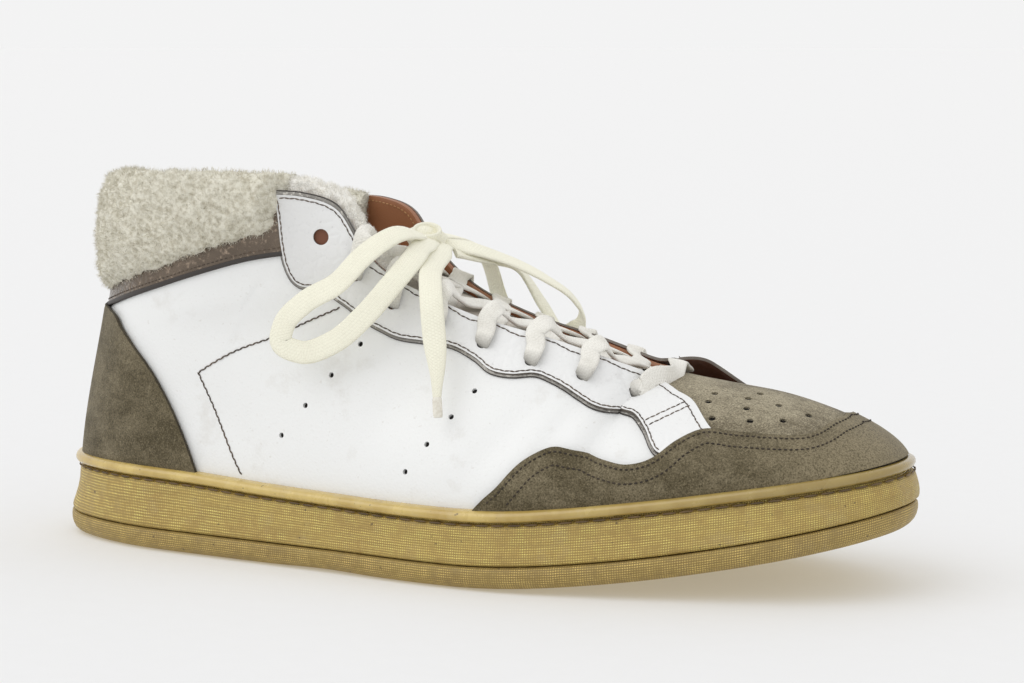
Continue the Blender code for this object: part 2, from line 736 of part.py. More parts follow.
def curve_points(route, step):
    """Evenly spaced points on a smooth curve through a route's own points."""
    route = np.asarray(route, float)
    run = run_lengths(route)
    count = max(4, int(round(run[-1] / step)) + 1)
    at = np.linspace(0.0, run[-1], count)
    return np.stack([smooth(run, route[:, axis], at) for axis in range(3)], -1)


def strap(shape, route):
    """Flat lace along a route of places, each a point with the direction that the face looks."""
    middles = np.array([point for point, _ in route])
    run = run_lengths(middles)
    at = np.sort(np.concatenate([run, (run[:-1] + run[1:]) / 2.0]))
    points = np.stack([smooth(run, middles[:, axis], at) for axis in range(3)], -1)
    ups = np.stack([np.interp(at, run, [up[axis] for _, up in route]) for axis in range(3)], -1)
    rows = []
    for point, tangent, up in zip(points, np.gradient(points, axis=0), ups):
        sideways = np.cross(tangent, up)
        sideways *= LACE_WIDTH / 2.0 / np.linalg.norm(sideways)
        thick = np.cross(sideways, tangent)
        thick *= LACE_THICKNESS / 2.0 / np.linalg.norm(thick)
        rows.append([shape.verts.new(place(point + a * sideways + b * thick))
                     for a, b in ((-1, -1), (1, -1), (1, 1), (-1, 1))])
    for row, following in zip(rows[:-1], rows[1:]):
        bridge(shape, row, following)
    shape.faces.new(rows[0])
    shape.faces.new(rows[-1])
    bmesh.ops.recalc_face_normals(shape, faces=shape.faces)


def over_stay(side, along, height, lift=LACE_LIFT):
    """Place of a lace that lies on an eyestay."""
    t = float(station(along))
    rise = OVERLAY_GAP + OVERLAY_WALL + lift + LACE_THICKNESS / 2.0
    return off_last(side, t, height, rise), last_normal(side, t, height)


def over_edge(side, along):
    """Place of a lace that rounds the edge of upper and eyestay at a rib's end."""
    t = float(station(along))
    end = off_last(side, t, 1.0, OVERLAY_WALL / 2.0)
    rise = end - last_point(side, t, 0.98)
    rise /= np.linalg.norm(rise)
    return end + rise * (LACE_OVER_EDGE + LACE_THICKNESS / 2.0), rise + last_normal(side, t, 1.0)


def over_tongue(along, across, lift):
    """Place of a lace that lies over the tongue."""
    t = float(station(along))
    point = tongue_point(t, across)
    raised = tongue_point(t, across, lift + LACE_THICKNESS / 2.0)
    return raised, (raised - point) / np.linalg.norm(raised - point)


def strand_route(side, hole, lower):
    """From a hole over its edge and the tongue towards the opposite edge at the pair below."""
    lift = LACE_OVER_TONGUE + (LACE_CROSSING if side == MEDIAL else 0.0)
    step = (min(lower.along, LACE_FRONT) - hole.along) / 4.0
    inner = []
    for row in STRAND:
        across = row.across if side == LATERAL else 1.0 - row.across
        inner.append(over_tongue(hole.along + step * row.quarters, across, lift))
    middle = (hole.height + 1.0) / 2.0
    return [over_stay(side, hole.along, hole.height + HOLE_MARGIN),
            over_stay(side, hole.along + step * 0.2, middle, LACE_LIFT * 1.5),
            over_stay(side, hole.along + step * 0.4, 1.0, LACE_LIFT * 2.2),
            over_edge(side, hole.along + step * 0.5), *inner]


def lace_piece(name, cotton, routes):
    """Lace strands that cross, joined into one solid."""
    pieces = []
    for index, route in enumerate(routes):
        shape = bmesh.new()
        strap(shape, route)
        pieces.append(mesh_object(name if index == 0 else name + "_strand", shape, cotton))
    for helper in pieces[1:]:
        helper.hide_render = True
        helper.display_type = "WIRE"
        join = pieces[0].modifiers.new("join", "BOOLEAN")
        join.operation = "UNION"
        join.object = helper


def build_laces(cotton):
    """Bottom bar, crossings up to the last laced pair, and the bow's cords."""
    halves = []
    for side in (LATERAL, MEDIAL):
        halves.append([over_stay(side, BAR_ALONG, height, BAR_LIFT) for height in BAR_HEIGHTS])
    lace_piece("lace_bar", cotton, [[*halves[0], *halves[1][::-1]]])
    for index in range(1, LACED_PAIRS):
        hole, lower = EYELETS[index], EYELETS[index - 1]
        routes = [strand_route(side, hole, lower) for side in (LATERAL, MEDIAL)]
        lace_piece("lace_cross_%d" % index, cotton, routes)
    cords = (("lace_knot", KNOT, KNOT_RADIUS), ("lace_loop_near", LOOP_NEAR, CORD_RADIUS),
             ("lace_end_near", END_NEAR, CORD_RADIUS), ("lace_loop_far", LOOP_FAR, CORD_RADIUS),
             ("lace_end_far", END_FAR, CORD_RADIUS))
    for name, route, radius in cords:
        cord(name, route, radius, cotton)


def cord(name, route, radius, cotton):
    """Round cord with closed ends."""
    points = curve_points(route, CORD_STEP)
    data = bpy.data.curves.new(name, "CURVE")
    data.dimensions = "3D"
    data.bevel_depth = radius * MM
    data.bevel_resolution = 2
    data.use_fill_caps = True
    spline = data.splines.new("POLY")
    spline.points.add(len(points) - 1)
    for target, point in zip(spline.points, points):
        target.co = (*place(point), 1.0)
    add_object(name, data, cotton)


def build_shearling(wool):
    """Deep shearling collar: a rounded roll that stands on the upper's edge behind the tabs."""
    shape = bmesh.new()
    back = np.linspace(0.0, station(COLLAR_FRONT - SHEARLING_GAP_TO_TAB), ROLL_RINGS)
    route = [(LATERAL, t) for t in back[::-1]] + [(MEDIAL, t) for t in back[1:]]
    rings = []
    for index, (side, t) in enumerate(route):
        share = edge_share(side, np.array([t]))[0]
        low = last_point(side, t, share)
        out = outline(side, np.array([t]))[1][0]
        top = SHEARLING_TOP - medial_drop(side, t, SHEARLING_TOP)
        top = top - (SHEARLING_TOP - SHEARLING_TOP_BACK) * max(0.0, 1.0 - low[0] / SHEARLING_BACK_RUN)
        end = min(index, len(route) - 1 - index)
        slim = ROLL_END_SHARES[end] if end < len(ROLL_END_SHARES) else 1.0
        half = (top - low[2] - OVERLAY_GAP) / 2.0
        lean = last_point(side, t, 1.0) - low
        ring = []
        for turn in range(ROLL_SIDES):
            angle = 2.0 * math.pi * turn / ROLL_SIDES
            sideways = SHEARLING_HALF_THICKNESS * slim * superellipse(math.cos(angle))
            upward = half * superellipse(math.sin(angle))
            climb = (upward + half) / max(lean[2], 1.0)
            base = low[:2] + lean[:2] * min(climb, 1.0) - out * UPPER_WALL / 2.0
            ring.append(shape.verts.new(place((*(base + out * sideways),
                                               low[2] + OVERLAY_GAP + half + upward * (0.9 + 0.1 * slim)))))
        rings.append(ring)
    for ring, following in zip(rings[:-1], rings[1:]):
        bridge(shape, ring, following)
    shape.faces.new(rings[0])
    shape.faces.new(rings[-1])
    bmesh.ops.recalc_face_normals(shape, faces=shape.faces)
    mesh_object("shearling_collar", shape, wool)


def superellipse(value):
    """Fuller than a circle, for a thick roll of wool."""
    return math.copysign(abs(value) ** ROLL_FULLNESS, value)


def build_all():
    """Build every piece of the shoe."""
    rubber = material("gum_rubber", (0.40, 0.27, 0.09), 0.6)
    welt_rubber = material("welt_rubber", (0.50, 0.37, 0.15), 0.35)
    white = material("white_leather", (0.80, 0.80, 0.79), 0.45)
    suede = material("taupe_suede", (0.13, 0.105, 0.075), 0.95)
    lining = material("tan_lining", (0.35, 0.16, 0.07), 0.6)
    greige = material("tongue_leather", (0.62, 0.57, 0.50), 0.6)
    wool = material("shearling_wool", (0.70, 0.66, 0.58), 1.0)
    cotton = material("lace_cotton", (0.80, 0.76, 0.62), 0.9)
    build_sole(rubber, welt_rubber, lining)
    build_upper(white)
    build_tongue(greige)
    build_overlays(suede, white)
    build_shearling(wool)
    build_laces(cotton)


def clear_scene():
    """Remove whatever the scene holds."""
    for obj in list(bpy.data.objects):
        bpy.data.objects.remove(obj, do_unlink=True)


clear_scene()
build_all()
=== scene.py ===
"""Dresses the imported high-top sneaker: sole, leather and suede panels, shearling, laces and studio.

Shoe axes: x runs from the heel to the toe, y to the medial (inner) side, z up. Sizes in the
classes are millimetres from the heel, and Form.place turns them into the frame's metres.
"""

from __future__ import annotations

import logging
import math
from dataclasses import dataclass
from enum import Enum
from functools import partial
from typing import Callable
from typing import Optional
from typing import Sequence

import bpy
import numpy as np
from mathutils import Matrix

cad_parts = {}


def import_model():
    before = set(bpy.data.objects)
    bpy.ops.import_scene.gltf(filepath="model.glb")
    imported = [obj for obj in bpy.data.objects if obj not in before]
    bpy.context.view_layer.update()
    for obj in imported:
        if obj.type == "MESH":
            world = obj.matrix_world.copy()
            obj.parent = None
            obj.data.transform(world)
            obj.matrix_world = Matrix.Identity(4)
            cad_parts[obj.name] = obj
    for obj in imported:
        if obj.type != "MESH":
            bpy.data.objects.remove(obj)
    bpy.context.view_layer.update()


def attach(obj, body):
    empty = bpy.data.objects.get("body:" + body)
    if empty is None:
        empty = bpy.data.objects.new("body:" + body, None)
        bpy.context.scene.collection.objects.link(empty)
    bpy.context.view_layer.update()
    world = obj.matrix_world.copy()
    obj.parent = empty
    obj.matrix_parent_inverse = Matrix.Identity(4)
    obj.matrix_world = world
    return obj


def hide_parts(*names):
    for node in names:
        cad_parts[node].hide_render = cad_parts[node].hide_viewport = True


LOG = logging.getLogger("sneaker")
MM = 0.001
MIDDLE = (150.0, 0.0, 0.0)
Rows = tuple[tuple[float, ...], ...]
Point = tuple[float, float, float]


class Side(Enum):
    """The shoe's two sides, with the sign of y."""

    LATERAL = -1
    MEDIAL = 1

    @property
    def number(self) -> int:
        """Place of the side in a pair: 0 for the lateral one, 1 for the medial one."""
        return (self.value + 1) // 2


BOTH = (Side.LATERAL, Side.MEDIAL)


def smooth(knots: Sequence[float], values: Sequence[float], at: np.ndarray,
           level: bool = False) -> np.ndarray:
    """Draw a cubic curve through knots.

    Args:
        knots: Places of the known values, in any order.
        values: Value at each knot.
        at: Places to read the curve at.
        level: Whether the curve ends level.

    Returns:
        The curve's values.
    """
    order = np.argsort(knots)
    knots = np.asarray(knots, float)[order]
    values = np.asarray(values, float)[order]
    at = np.clip(np.asarray(at, float), knots[0], knots[-1])
    gap = np.diff(knots)
    secant = np.diff(values) / gap
    slope = np.append(secant, secant[-1])
    slope[1:-1] = (secant[:-1] * gap[1:] + secant[1:] * gap[:-1]) / (gap[1:] + gap[:-1])
    slope[0] = 0.0 if level else 1.5 * secant[0] - 0.5 * slope[1]
    slope[-1] = 0.0 if level else 1.5 * secant[-1] - 0.5 * slope[-2]
    cell = np.clip(np.searchsorted(knots, at, side="right") - 1, 0, len(knots) - 2)
    u = (at - knots[cell]) / gap[cell]
    start = (2 * u**3 - 3 * u**2 + 1) * values[cell] + (u**3 - 2 * u**2 + u) * gap[cell] * slope[cell]
    end = (3 * u**2 - 2 * u**3) * values[cell + 1] + (u**3 - u**2) * gap[cell] * slope[cell + 1]
    return start + end


def ease(share: np.ndarray) -> np.ndarray:
    """Step from 0 to 1 that starts and ends level."""
    share = np.clip(share, 0.0, 1.0)
    return share * share * (3.0 - 2.0 * share)


def unit(vectors: np.ndarray) -> np.ndarray:
    """Vectors brought to length one."""
    length = np.linalg.norm(vectors, axis=-1, keepdims=True)
    return vectors / np.maximum(length, 1e-12)


def station(along: float | np.ndarray) -> np.ndarray:
    """Even step round the sole's edge for a share of the length: 0 at the heel, 1 at the toe."""
    return np.arccos(1.0 - 2.0 * np.asarray(along, float)) / math.pi


def border(rows: Rows, t: np.ndarray) -> np.ndarray:
    """Height of a panel's border on the rib at station t."""
    table = np.array(rows)
    return smooth(station(table[:, 0]), table[:, 1], t)


def run_lengths(points: np.ndarray) -> np.ndarray:
    """Distance from a route's start to each of its points."""
    return np.concatenate([[0.0], np.cumsum(np.linalg.norm(np.diff(points, axis=0), axis=1))])


def between(at: np.ndarray, knots: np.ndarray, rows: np.ndarray) -> np.ndarray:
    """Rows of a table read between its knots, column by column."""
    return np.stack([np.interp(at, knots, column) for column in rows.T], -1)


def softened(ways: np.ndarray, count: int) -> np.ndarray:
    """Directions along a line, each brought to the mean of those round it."""
    blur = np.ones(count) / count
    return unit(np.stack([np.convolve(np.pad(column, count // 2, "edge"), blur, "valid")
                          for column in ways.T], -1))


def even_curve(route: Sequence[Sequence[float]], step: float) -> np.ndarray:
    """Place evenly spaced points on a smooth curve through a route.

    Args:
        route: Points that the curve goes through.
        step: Distance between the new points.

    Returns:
        Points on the curve, one a row.
    """
    route = np.asarray(route, float)
    run = run_lengths(route)
    fine = np.linspace(0.0, run[-1], 40 * len(route))
    curve = np.stack([smooth(run, column, fine) for column in route.T], -1)
    run = run_lengths(curve)
    at = np.linspace(0.0, run[-1], max(4, int(round(run[-1] / step)) + 1))
    return between(at, run, curve)


@dataclass(frozen=True)
class Crease:
    """A soft fold of the upper between two places, each a share of the length and a rib height."""

    side: Side
    start: tuple[float, float]
    end: tuple[float, float]
    width: float
    depth: float


@dataclass(frozen=True)
class Form:
    """The last that every panel is laid on, and the sole's lines, as in the CAD model."""

    length: float = 300.0
    spring: float = 21.0
    spring_start: float = 165.0
    spring_power: float = 1.7
    arch: float = 0.4
    arch_span: tuple[float, float] = (95.0, 140.0)
    heel_lift: float = 1.5
    heel_run: float = 12.0
    ledge: float = 4.5
    throat_lift: tuple[float, float] = (2.4, -1.6)
    throat_span: Rows = ((0.35, 0.43), (0.61, 0.68))
    heel_ledge: float = 2.6
    heel_share: float = 0.2
    crease_fade: tuple[float, float] = (0.15, 0.7)
    throat_front: float = 0.69
    tab_rear: float = 0.222
    collar_back: tuple[float, float] = (18.5, 85.0)
    collar_slope: float = 0.33
    medial_drop: float = 4.0
    drop_level: float = 75.0
    drop_range: float = 40.0
    tongue_side: float = 0.88
    tongue_sink: float = 3.7
    tongue_arch: float = 0.29
    outline_rows: Rows = (
        (0.00, 0.0, 0.0), (0.02, 18.0, 18.0), (0.06, 27.5, 27.0), (0.14, 37.0, 35.5), (0.25, 42.0, 38.5),
        (0.40, 47.5, 38.5), (0.52, 53.0, 43.5), (0.61, 54.0, 49.5), (0.71, 49.5, 54.0), (0.82, 42.0, 52.0),
        (0.90, 35.0, 44.0), (0.96, 24.5, 30.5), (1.00, 0.0, 0.0),
    )
    rim_rows: Rows = (
        (0.00, 28.2), (0.10, 28.6), (0.20, 28.3), (0.32, 26.6), (0.45, 25.4), (0.60, 25.2), (0.75, 25.4),
        (0.87, 24.4), (1.00, 21.5),
    )
    rib_rows: Rows = (
        (1.000, 266.0, 57.2, 3.0, 5.0, -3.0, 12.0, 2.9), (0.962, 258.0, 58.6, 3.5, 6.5, -2.0, 15.5, 2.4),
        (0.900, 249.0, 60.2, 4.0, 9.4, -0.3, 18.5, 1.5), (0.820, 238.0, 61.3, 4.0, 12.0, 1.0, 22.0, 0.5),
        (0.750, 229.0, 62.6, 4.0, 13.0, 1.0, 24.0, 0.0), (0.690, 220.0, 64.2, 4.0, 15.0, 1.5, 22.0, 0.0),
        (0.630, 209.0, 66.5, 4.0, 17.0, 2.0, 14.0, 3.5), (0.550, 188.0, 73.6, 3.5, 20.0, 2.0, 12.0, 8.0),
        (0.470, 162.0, 81.0, 3.0, 22.0, 2.0, 10.0, 13.0), (0.400, 140.0, 91.0, 2.0, 24.0, 1.5, 8.0, 18.0),
        (0.330, 125.0, 105.0, 1.0, 26.0, 1.0, 5.0, 24.0), (0.285, 117.0, 116.5, 0.0, 27.0, 1.0, 3.0, 26.0),
        (0.245, 106.0, 120.3, 0.0, 28.0, 1.0, 1.0, 27.0), (0.210, 94.0, 120.8, 0.0, 28.0, 1.0, 0.0, 28.0),
        (0.150, 72.0, 118.0, 0.0, 27.0, 1.0, -1.0, 28.0), (0.095, 49.0, 113.0, 0.0, 26.0, 0.5, -1.0, 27.0),
        (0.040, 29.6, 108.0, 0.0, 25.0, -1.6, 0.5, 26.0), (0.000, 22.0, 105.0, 0.0, 25.0, -2.8, 1.0, 26.0),
    )
    spread_rows: Rows = (
        (0.690, 0.0, 0.0), (0.672, 9.5, 9.0), (0.630, 18.5, 15.5), (0.550, 24.5, 16.5), (0.470, 28.0, 18.0),
        (0.400, 30.0, 21.0), (0.330, 31.0, 24.0), (0.285, 31.0, 26.0), (0.245, 33.0, 28.0),
        (0.210, 35.0, 31.0), (0.150, 37.0, 35.0), (0.095, 33.5, 32.0), (0.040, 20.5, 20.0), (0.000, 0.0, 0.0),
    )
    creases: tuple[Crease, ...] = (
        Crease(Side.LATERAL, (0.600, 0.62), (0.560, 0.12), 6.0, 1.0),
        Crease(Side.LATERAL, (0.640, 0.58), (0.628, 0.34), 5.0, 0.7),
        Crease(Side.LATERAL, (0.470, 0.72), (0.430, 0.25), 9.0, 0.9),
        Crease(Side.LATERAL, (0.330, 0.62), (0.170, 0.52), 8.0, 1.1),
        Crease(Side.LATERAL, (0.250, 0.66), (0.120, 0.60), 5.0, -0.6),
        Crease(Side.LATERAL, (0.200, 0.30), (0.300, 0.12), 7.0, 0.7),
        Crease(Side.MEDIAL, (0.610, 0.62), (0.570, 0.12), 6.0, 1.1),
        Crease(Side.MEDIAL, (0.650, 0.58), (0.640, 0.30), 5.0, 0.5),
        Crease(Side.MEDIAL, (0.480, 0.70), (0.420, 0.22), 9.0, 1.0),
        Crease(Side.MEDIAL, (0.340, 0.62), (0.160, 0.50), 8.0, 1.1),
        Crease(Side.MEDIAL, (0.260, 0.64), (0.130, 0.58), 6.0, -0.4),
    )

    @staticmethod
    def place(points: np.ndarray) -> np.ndarray:
        """Frame positions, in metres, of points given from the heel in millimetres."""
        return (np.asarray(points, float) - MIDDLE) * MM

    def ground(self, x: np.ndarray) -> np.ndarray:
        """Line of the sole's underside: flat heel and forefoot, sprung toe."""
        x = np.asarray(x, float)
        toe = np.clip((x - self.spring_start) / (self.length - self.spring_start), 0.0, None)
        heel = np.clip((self.heel_run - x) / self.heel_run, 0.0, None)
        return self.spring * toe**self.spring_power + self.heel_lift * heel**2

    def hollow(self, x: np.ndarray) -> np.ndarray:
        """Lift of the underside at the arch."""
        low, high = self.arch_span
        share = np.clip((np.asarray(x, float) - low) / (high - low), 0.0, 1.0)
        return self.arch * np.sin(math.pi * share) ** 2

    def rim(self, x: np.ndarray) -> np.ndarray:
        """Top of the sole's rim."""
        table = np.array(self.rim_rows)
        return self.ground(x) + smooth(table[:, 0], table[:, 1], np.asarray(x, float) / self.length)

    def outline(self, side: Side, t: np.ndarray, inset: float = 0.0) -> tuple[np.ndarray, np.ndarray]:
        """Walk the sole's edge on one side.

        Args:
            side: Side of the shoe.
            t: Stations from heel to toe.
            inset: Distance inside the edge.

        Returns:
            Plan points, and the outward direction at each.
        """
        t = np.asarray(t, float)
        table = np.array(self.outline_rows)
        widths = table[:, 1 + side.number]

        def edge(u: np.ndarray) -> np.ndarray:
            """Plan points at stations u."""
            x = self.length * (1.0 - np.cos(math.pi * u)) / 2.0
            return np.stack([x, side.value * smooth(station(table[:, 0]), widths, u)], -1)

        step = 1e-4
        tangent = edge(np.minimum(t + step, 1.0)) - edge(np.maximum(t - step, 0.0))
        outward = side.value * np.stack([-tangent[..., 1], tangent[..., 0]], -1)
        outward = np.where((t <= 0.0)[..., None], (-1.0, 0.0), outward)
        outward = np.where((t >= 1.0)[..., None], (1.0, 0.0), outward)
        outward = unit(outward)
        return edge(t) - np.asarray(inset)[..., None] * outward, outward

    def rib(self, number: int, t: np.ndarray) -> np.ndarray:
        """One column of the ribs' table at station t."""
        table = np.array(self.rib_rows)
        return smooth(station(table[:, 0]), table[:, number], t, level=True)

    def fall(self, side: Side, t: np.ndarray, z: np.ndarray) -> np.ndarray:
        """How much lower the medial collar lies than the lateral one."""
        drop = self.medial_drop if side is Side.MEDIAL else 0.0
        return drop * ease((z - self.drop_level) / self.drop_range) * ease(t / station(self.tab_rear))

    def base(self, side: Side, t: np.ndarray, v: np.ndarray) -> np.ndarray:
        """Place points on the smooth last.

        Args:
            side: Side of the shoe.
            t: Stations from heel to toe.
            v: Heights on the ribs, from the rim (0) to the rib's end (1).

        Returns:
            Points in millimetres from the heel.
        """
        t, v = np.broadcast_arrays(np.asarray(t, float), np.asarray(v, float))
        table = np.array(self.spread_rows)
        spread = smooth(station(table[:, 0]), table[:, 1 + side.number], t)
        spread = np.where(t >= station(self.throat_front), 0.0, spread)
        (rear, full), (level, front) = self.throat_span
        window = (ease((t - station(rear)) / (station(full) - station(rear)))
                  * (1.0 - ease((t - station(level)) / (station(front) - station(level)))))
        top_y = self.rib(3, t) + side.value * spread
        top_z = self.rib(2, t) + window * self.throat_lift[side.number]
        top = np.stack([self.rib(1, t), top_y, top_z - self.fall(side, t, top_z)], -1)
        inset = self.ledge + self.heel_ledge * (1.0 - ease(t / self.heel_share))
        plan, outward = self.outline(side, t, inset)
        foot = np.concatenate([plan, self.rim(plan[..., 0])[..., None]], -1)
        rise, swell, reach, drop = (self.rib(number, t)[..., None] for number in (4, 5, 6, 7))
        lower = foot + np.concatenate([outward * swell, rise], -1)
        away = unit((foot - top)[..., :2])
        upper = top + np.concatenate([away * reach, -drop], -1)
        v = v[..., None]
        w = 1.0 - v
        return w**3 * foot + 3 * v * w**2 * lower + 3 * v**2 * w * upper + v**3 * top

    def normal(self, side: Side, t: np.ndarray, v: np.ndarray) -> np.ndarray:
        """Outward direction of the last's surface."""
        step = 1e-3
        t, v = np.broadcast_arrays(np.asarray(t, float), np.asarray(v, float))
        along = self.base(side, np.minimum(t + step, 1.0), v) - self.base(side, np.maximum(t - step, 0.0), v)
        upward = self.base(side, t, np.minimum(v + step, 1.0)) - self.base(side, t, np.maximum(v - step, 0.0))
        return unit(side.value * np.cross(upward, along))

    def relief(self, side: Side, points: np.ndarray) -> np.ndarray:
        """Depth of the soft folds at points of the last."""
        height = np.zeros(points.shape[:-1])
        for crease in self.creases:
            if crease.side is not side:
                continue
            start = self.base(side, station(crease.start[0]), np.float64(crease.start[1]))
            end = self.base(side, station(crease.end[0]), np.float64(crease.end[1]))
            run = end - start
            share = np.clip(((points - start) @ run) / (run @ run), 0.0, 1.0)
            gap = np.linalg.norm(points - (start + share[..., None] * run), axis=-1)
            first, rest = self.crease_fade
            fade = np.sin(math.pi * (first + rest * share))
            height -= crease.depth * np.exp(-((gap / crease.width) ** 2)) * fade
        return height

    def surface(self, side: Side, t: np.ndarray, v: np.ndarray, rise: float | np.ndarray = 0.0) -> np.ndarray:
        """Lay points over the creased last.

        Args:
            side: Side of the shoe.
            t: Stations from heel to toe.
            v: Heights on the ribs.
            rise: Distance outside the last.

        Returns:
            Points in millimetres from the heel.
        """
        points = self.base(side, t, v)
        lift = np.asarray(rise) + self.relief(side, points)
        return points + np.asarray(lift)[..., None] * self.normal(side, t, np.clip(v, 0.0, 1.0))

    def nearest(self, side: Side, wanted: np.ndarray, t: np.ndarray, v: np.ndarray, rounds: int, pace: float,
                limits: tuple[float, float]) -> tuple[np.ndarray, np.ndarray]:
        """Find the places of the last that lie nearest to points.

        Args:
            side: Side of the shoe.
            wanted: Points near the last.
            t: First guess of their stations.
            v: First guess of their heights.
            rounds: Number of corrections.
            pace: Share of the gap that each correction closes.
            limits: Least and greatest height.

        Returns:
            Stations and heights.
        """
        step = 1e-3
        for _ in range(rounds):
            gap = wanted - self.base(side, t, v)
            ahead = self.base(side, np.minimum(t + step, 1.0), v)
            along = (ahead - self.base(side, np.maximum(t - step, 0.0), v)) / (2 * step)
            upward = (self.base(side, t, v + step) - self.base(side, t, v - step)) / (2 * step)
            moves = [pace * np.sum(gap * way, -1) / np.maximum(np.sum(way * way, -1), 1e-6)
                     for way in (along, upward)]
            t = np.clip(t + moves[0], 0.0, 1.0)
            v = np.clip(v + moves[1], *limits)
        return t, v

    def collar_share(self, side: Side, t: np.ndarray) -> np.ndarray:
        """Height on each rib at which the upper ends: the rib's end at throat and tab, else the collar."""
        t = np.asarray(t, float)
        low = np.zeros_like(t)
        high = np.ones_like(t)
        for _ in range(24):
            middle = (low + high) / 2.0
            point = self.base(side, t, middle)
            edge = self.collar_back[1] + self.collar_slope * (point[..., 0] - self.collar_back[0])
            under = point[..., 2] < edge - self.fall(side, t, edge)
            low = np.where(under, middle, low)
            high = np.where(under, high, middle)
        return np.where(t >= station(self.tab_rear) - 1e-9, 1.0, (low + high) / 2.0)

    def tongue(self, t: np.ndarray, across: np.ndarray, lift: float | np.ndarray = 0.0) -> np.ndarray:
        """Place points over the tongue's face.

        Args:
            t: Stations from heel to toe.
            across: Share of the way from the lateral to the medial eyestay.
            lift: Distance over the face.

        Returns:
            Points in millimetres from the heel.
        """
        def face(u: np.ndarray, a: np.ndarray) -> np.ndarray:
            """Points on the tongue itself."""
            ends = []
            handles = []
            for side in BOTH:
                at = np.float64(self.tongue_side)
                next_to = at + 0.02
                end = self.base(side, u, at) - self.tongue_sink * self.normal(side, u, at)
                above = self.base(side, u, next_to) - self.tongue_sink * self.normal(side, u, next_to)
                ends.append(end)
                handles.append(unit(above - end))
            reach = self.tongue_arch * np.linalg.norm(ends[1] - ends[0], axis=-1, keepdims=True)
            a = a[..., None]
            w = 1.0 - a
            first = ends[0] + reach * handles[0]
            second = ends[1] + reach * handles[1]
            return w**3 * ends[0] + 3 * a * w**2 * first + 3 * a**2 * w * second + a**3 * ends[1]

        t, across = np.broadcast_arrays(np.asarray(t, float), np.asarray(across, float))
        point = face(t, across)
        step = 0.01
        over = face(t, across + step) - face(t, across - step)
        along = point - face(t - step, across)
        return point + np.asarray(lift)[..., None] * unit(np.cross(along, over))


FORM = Form()


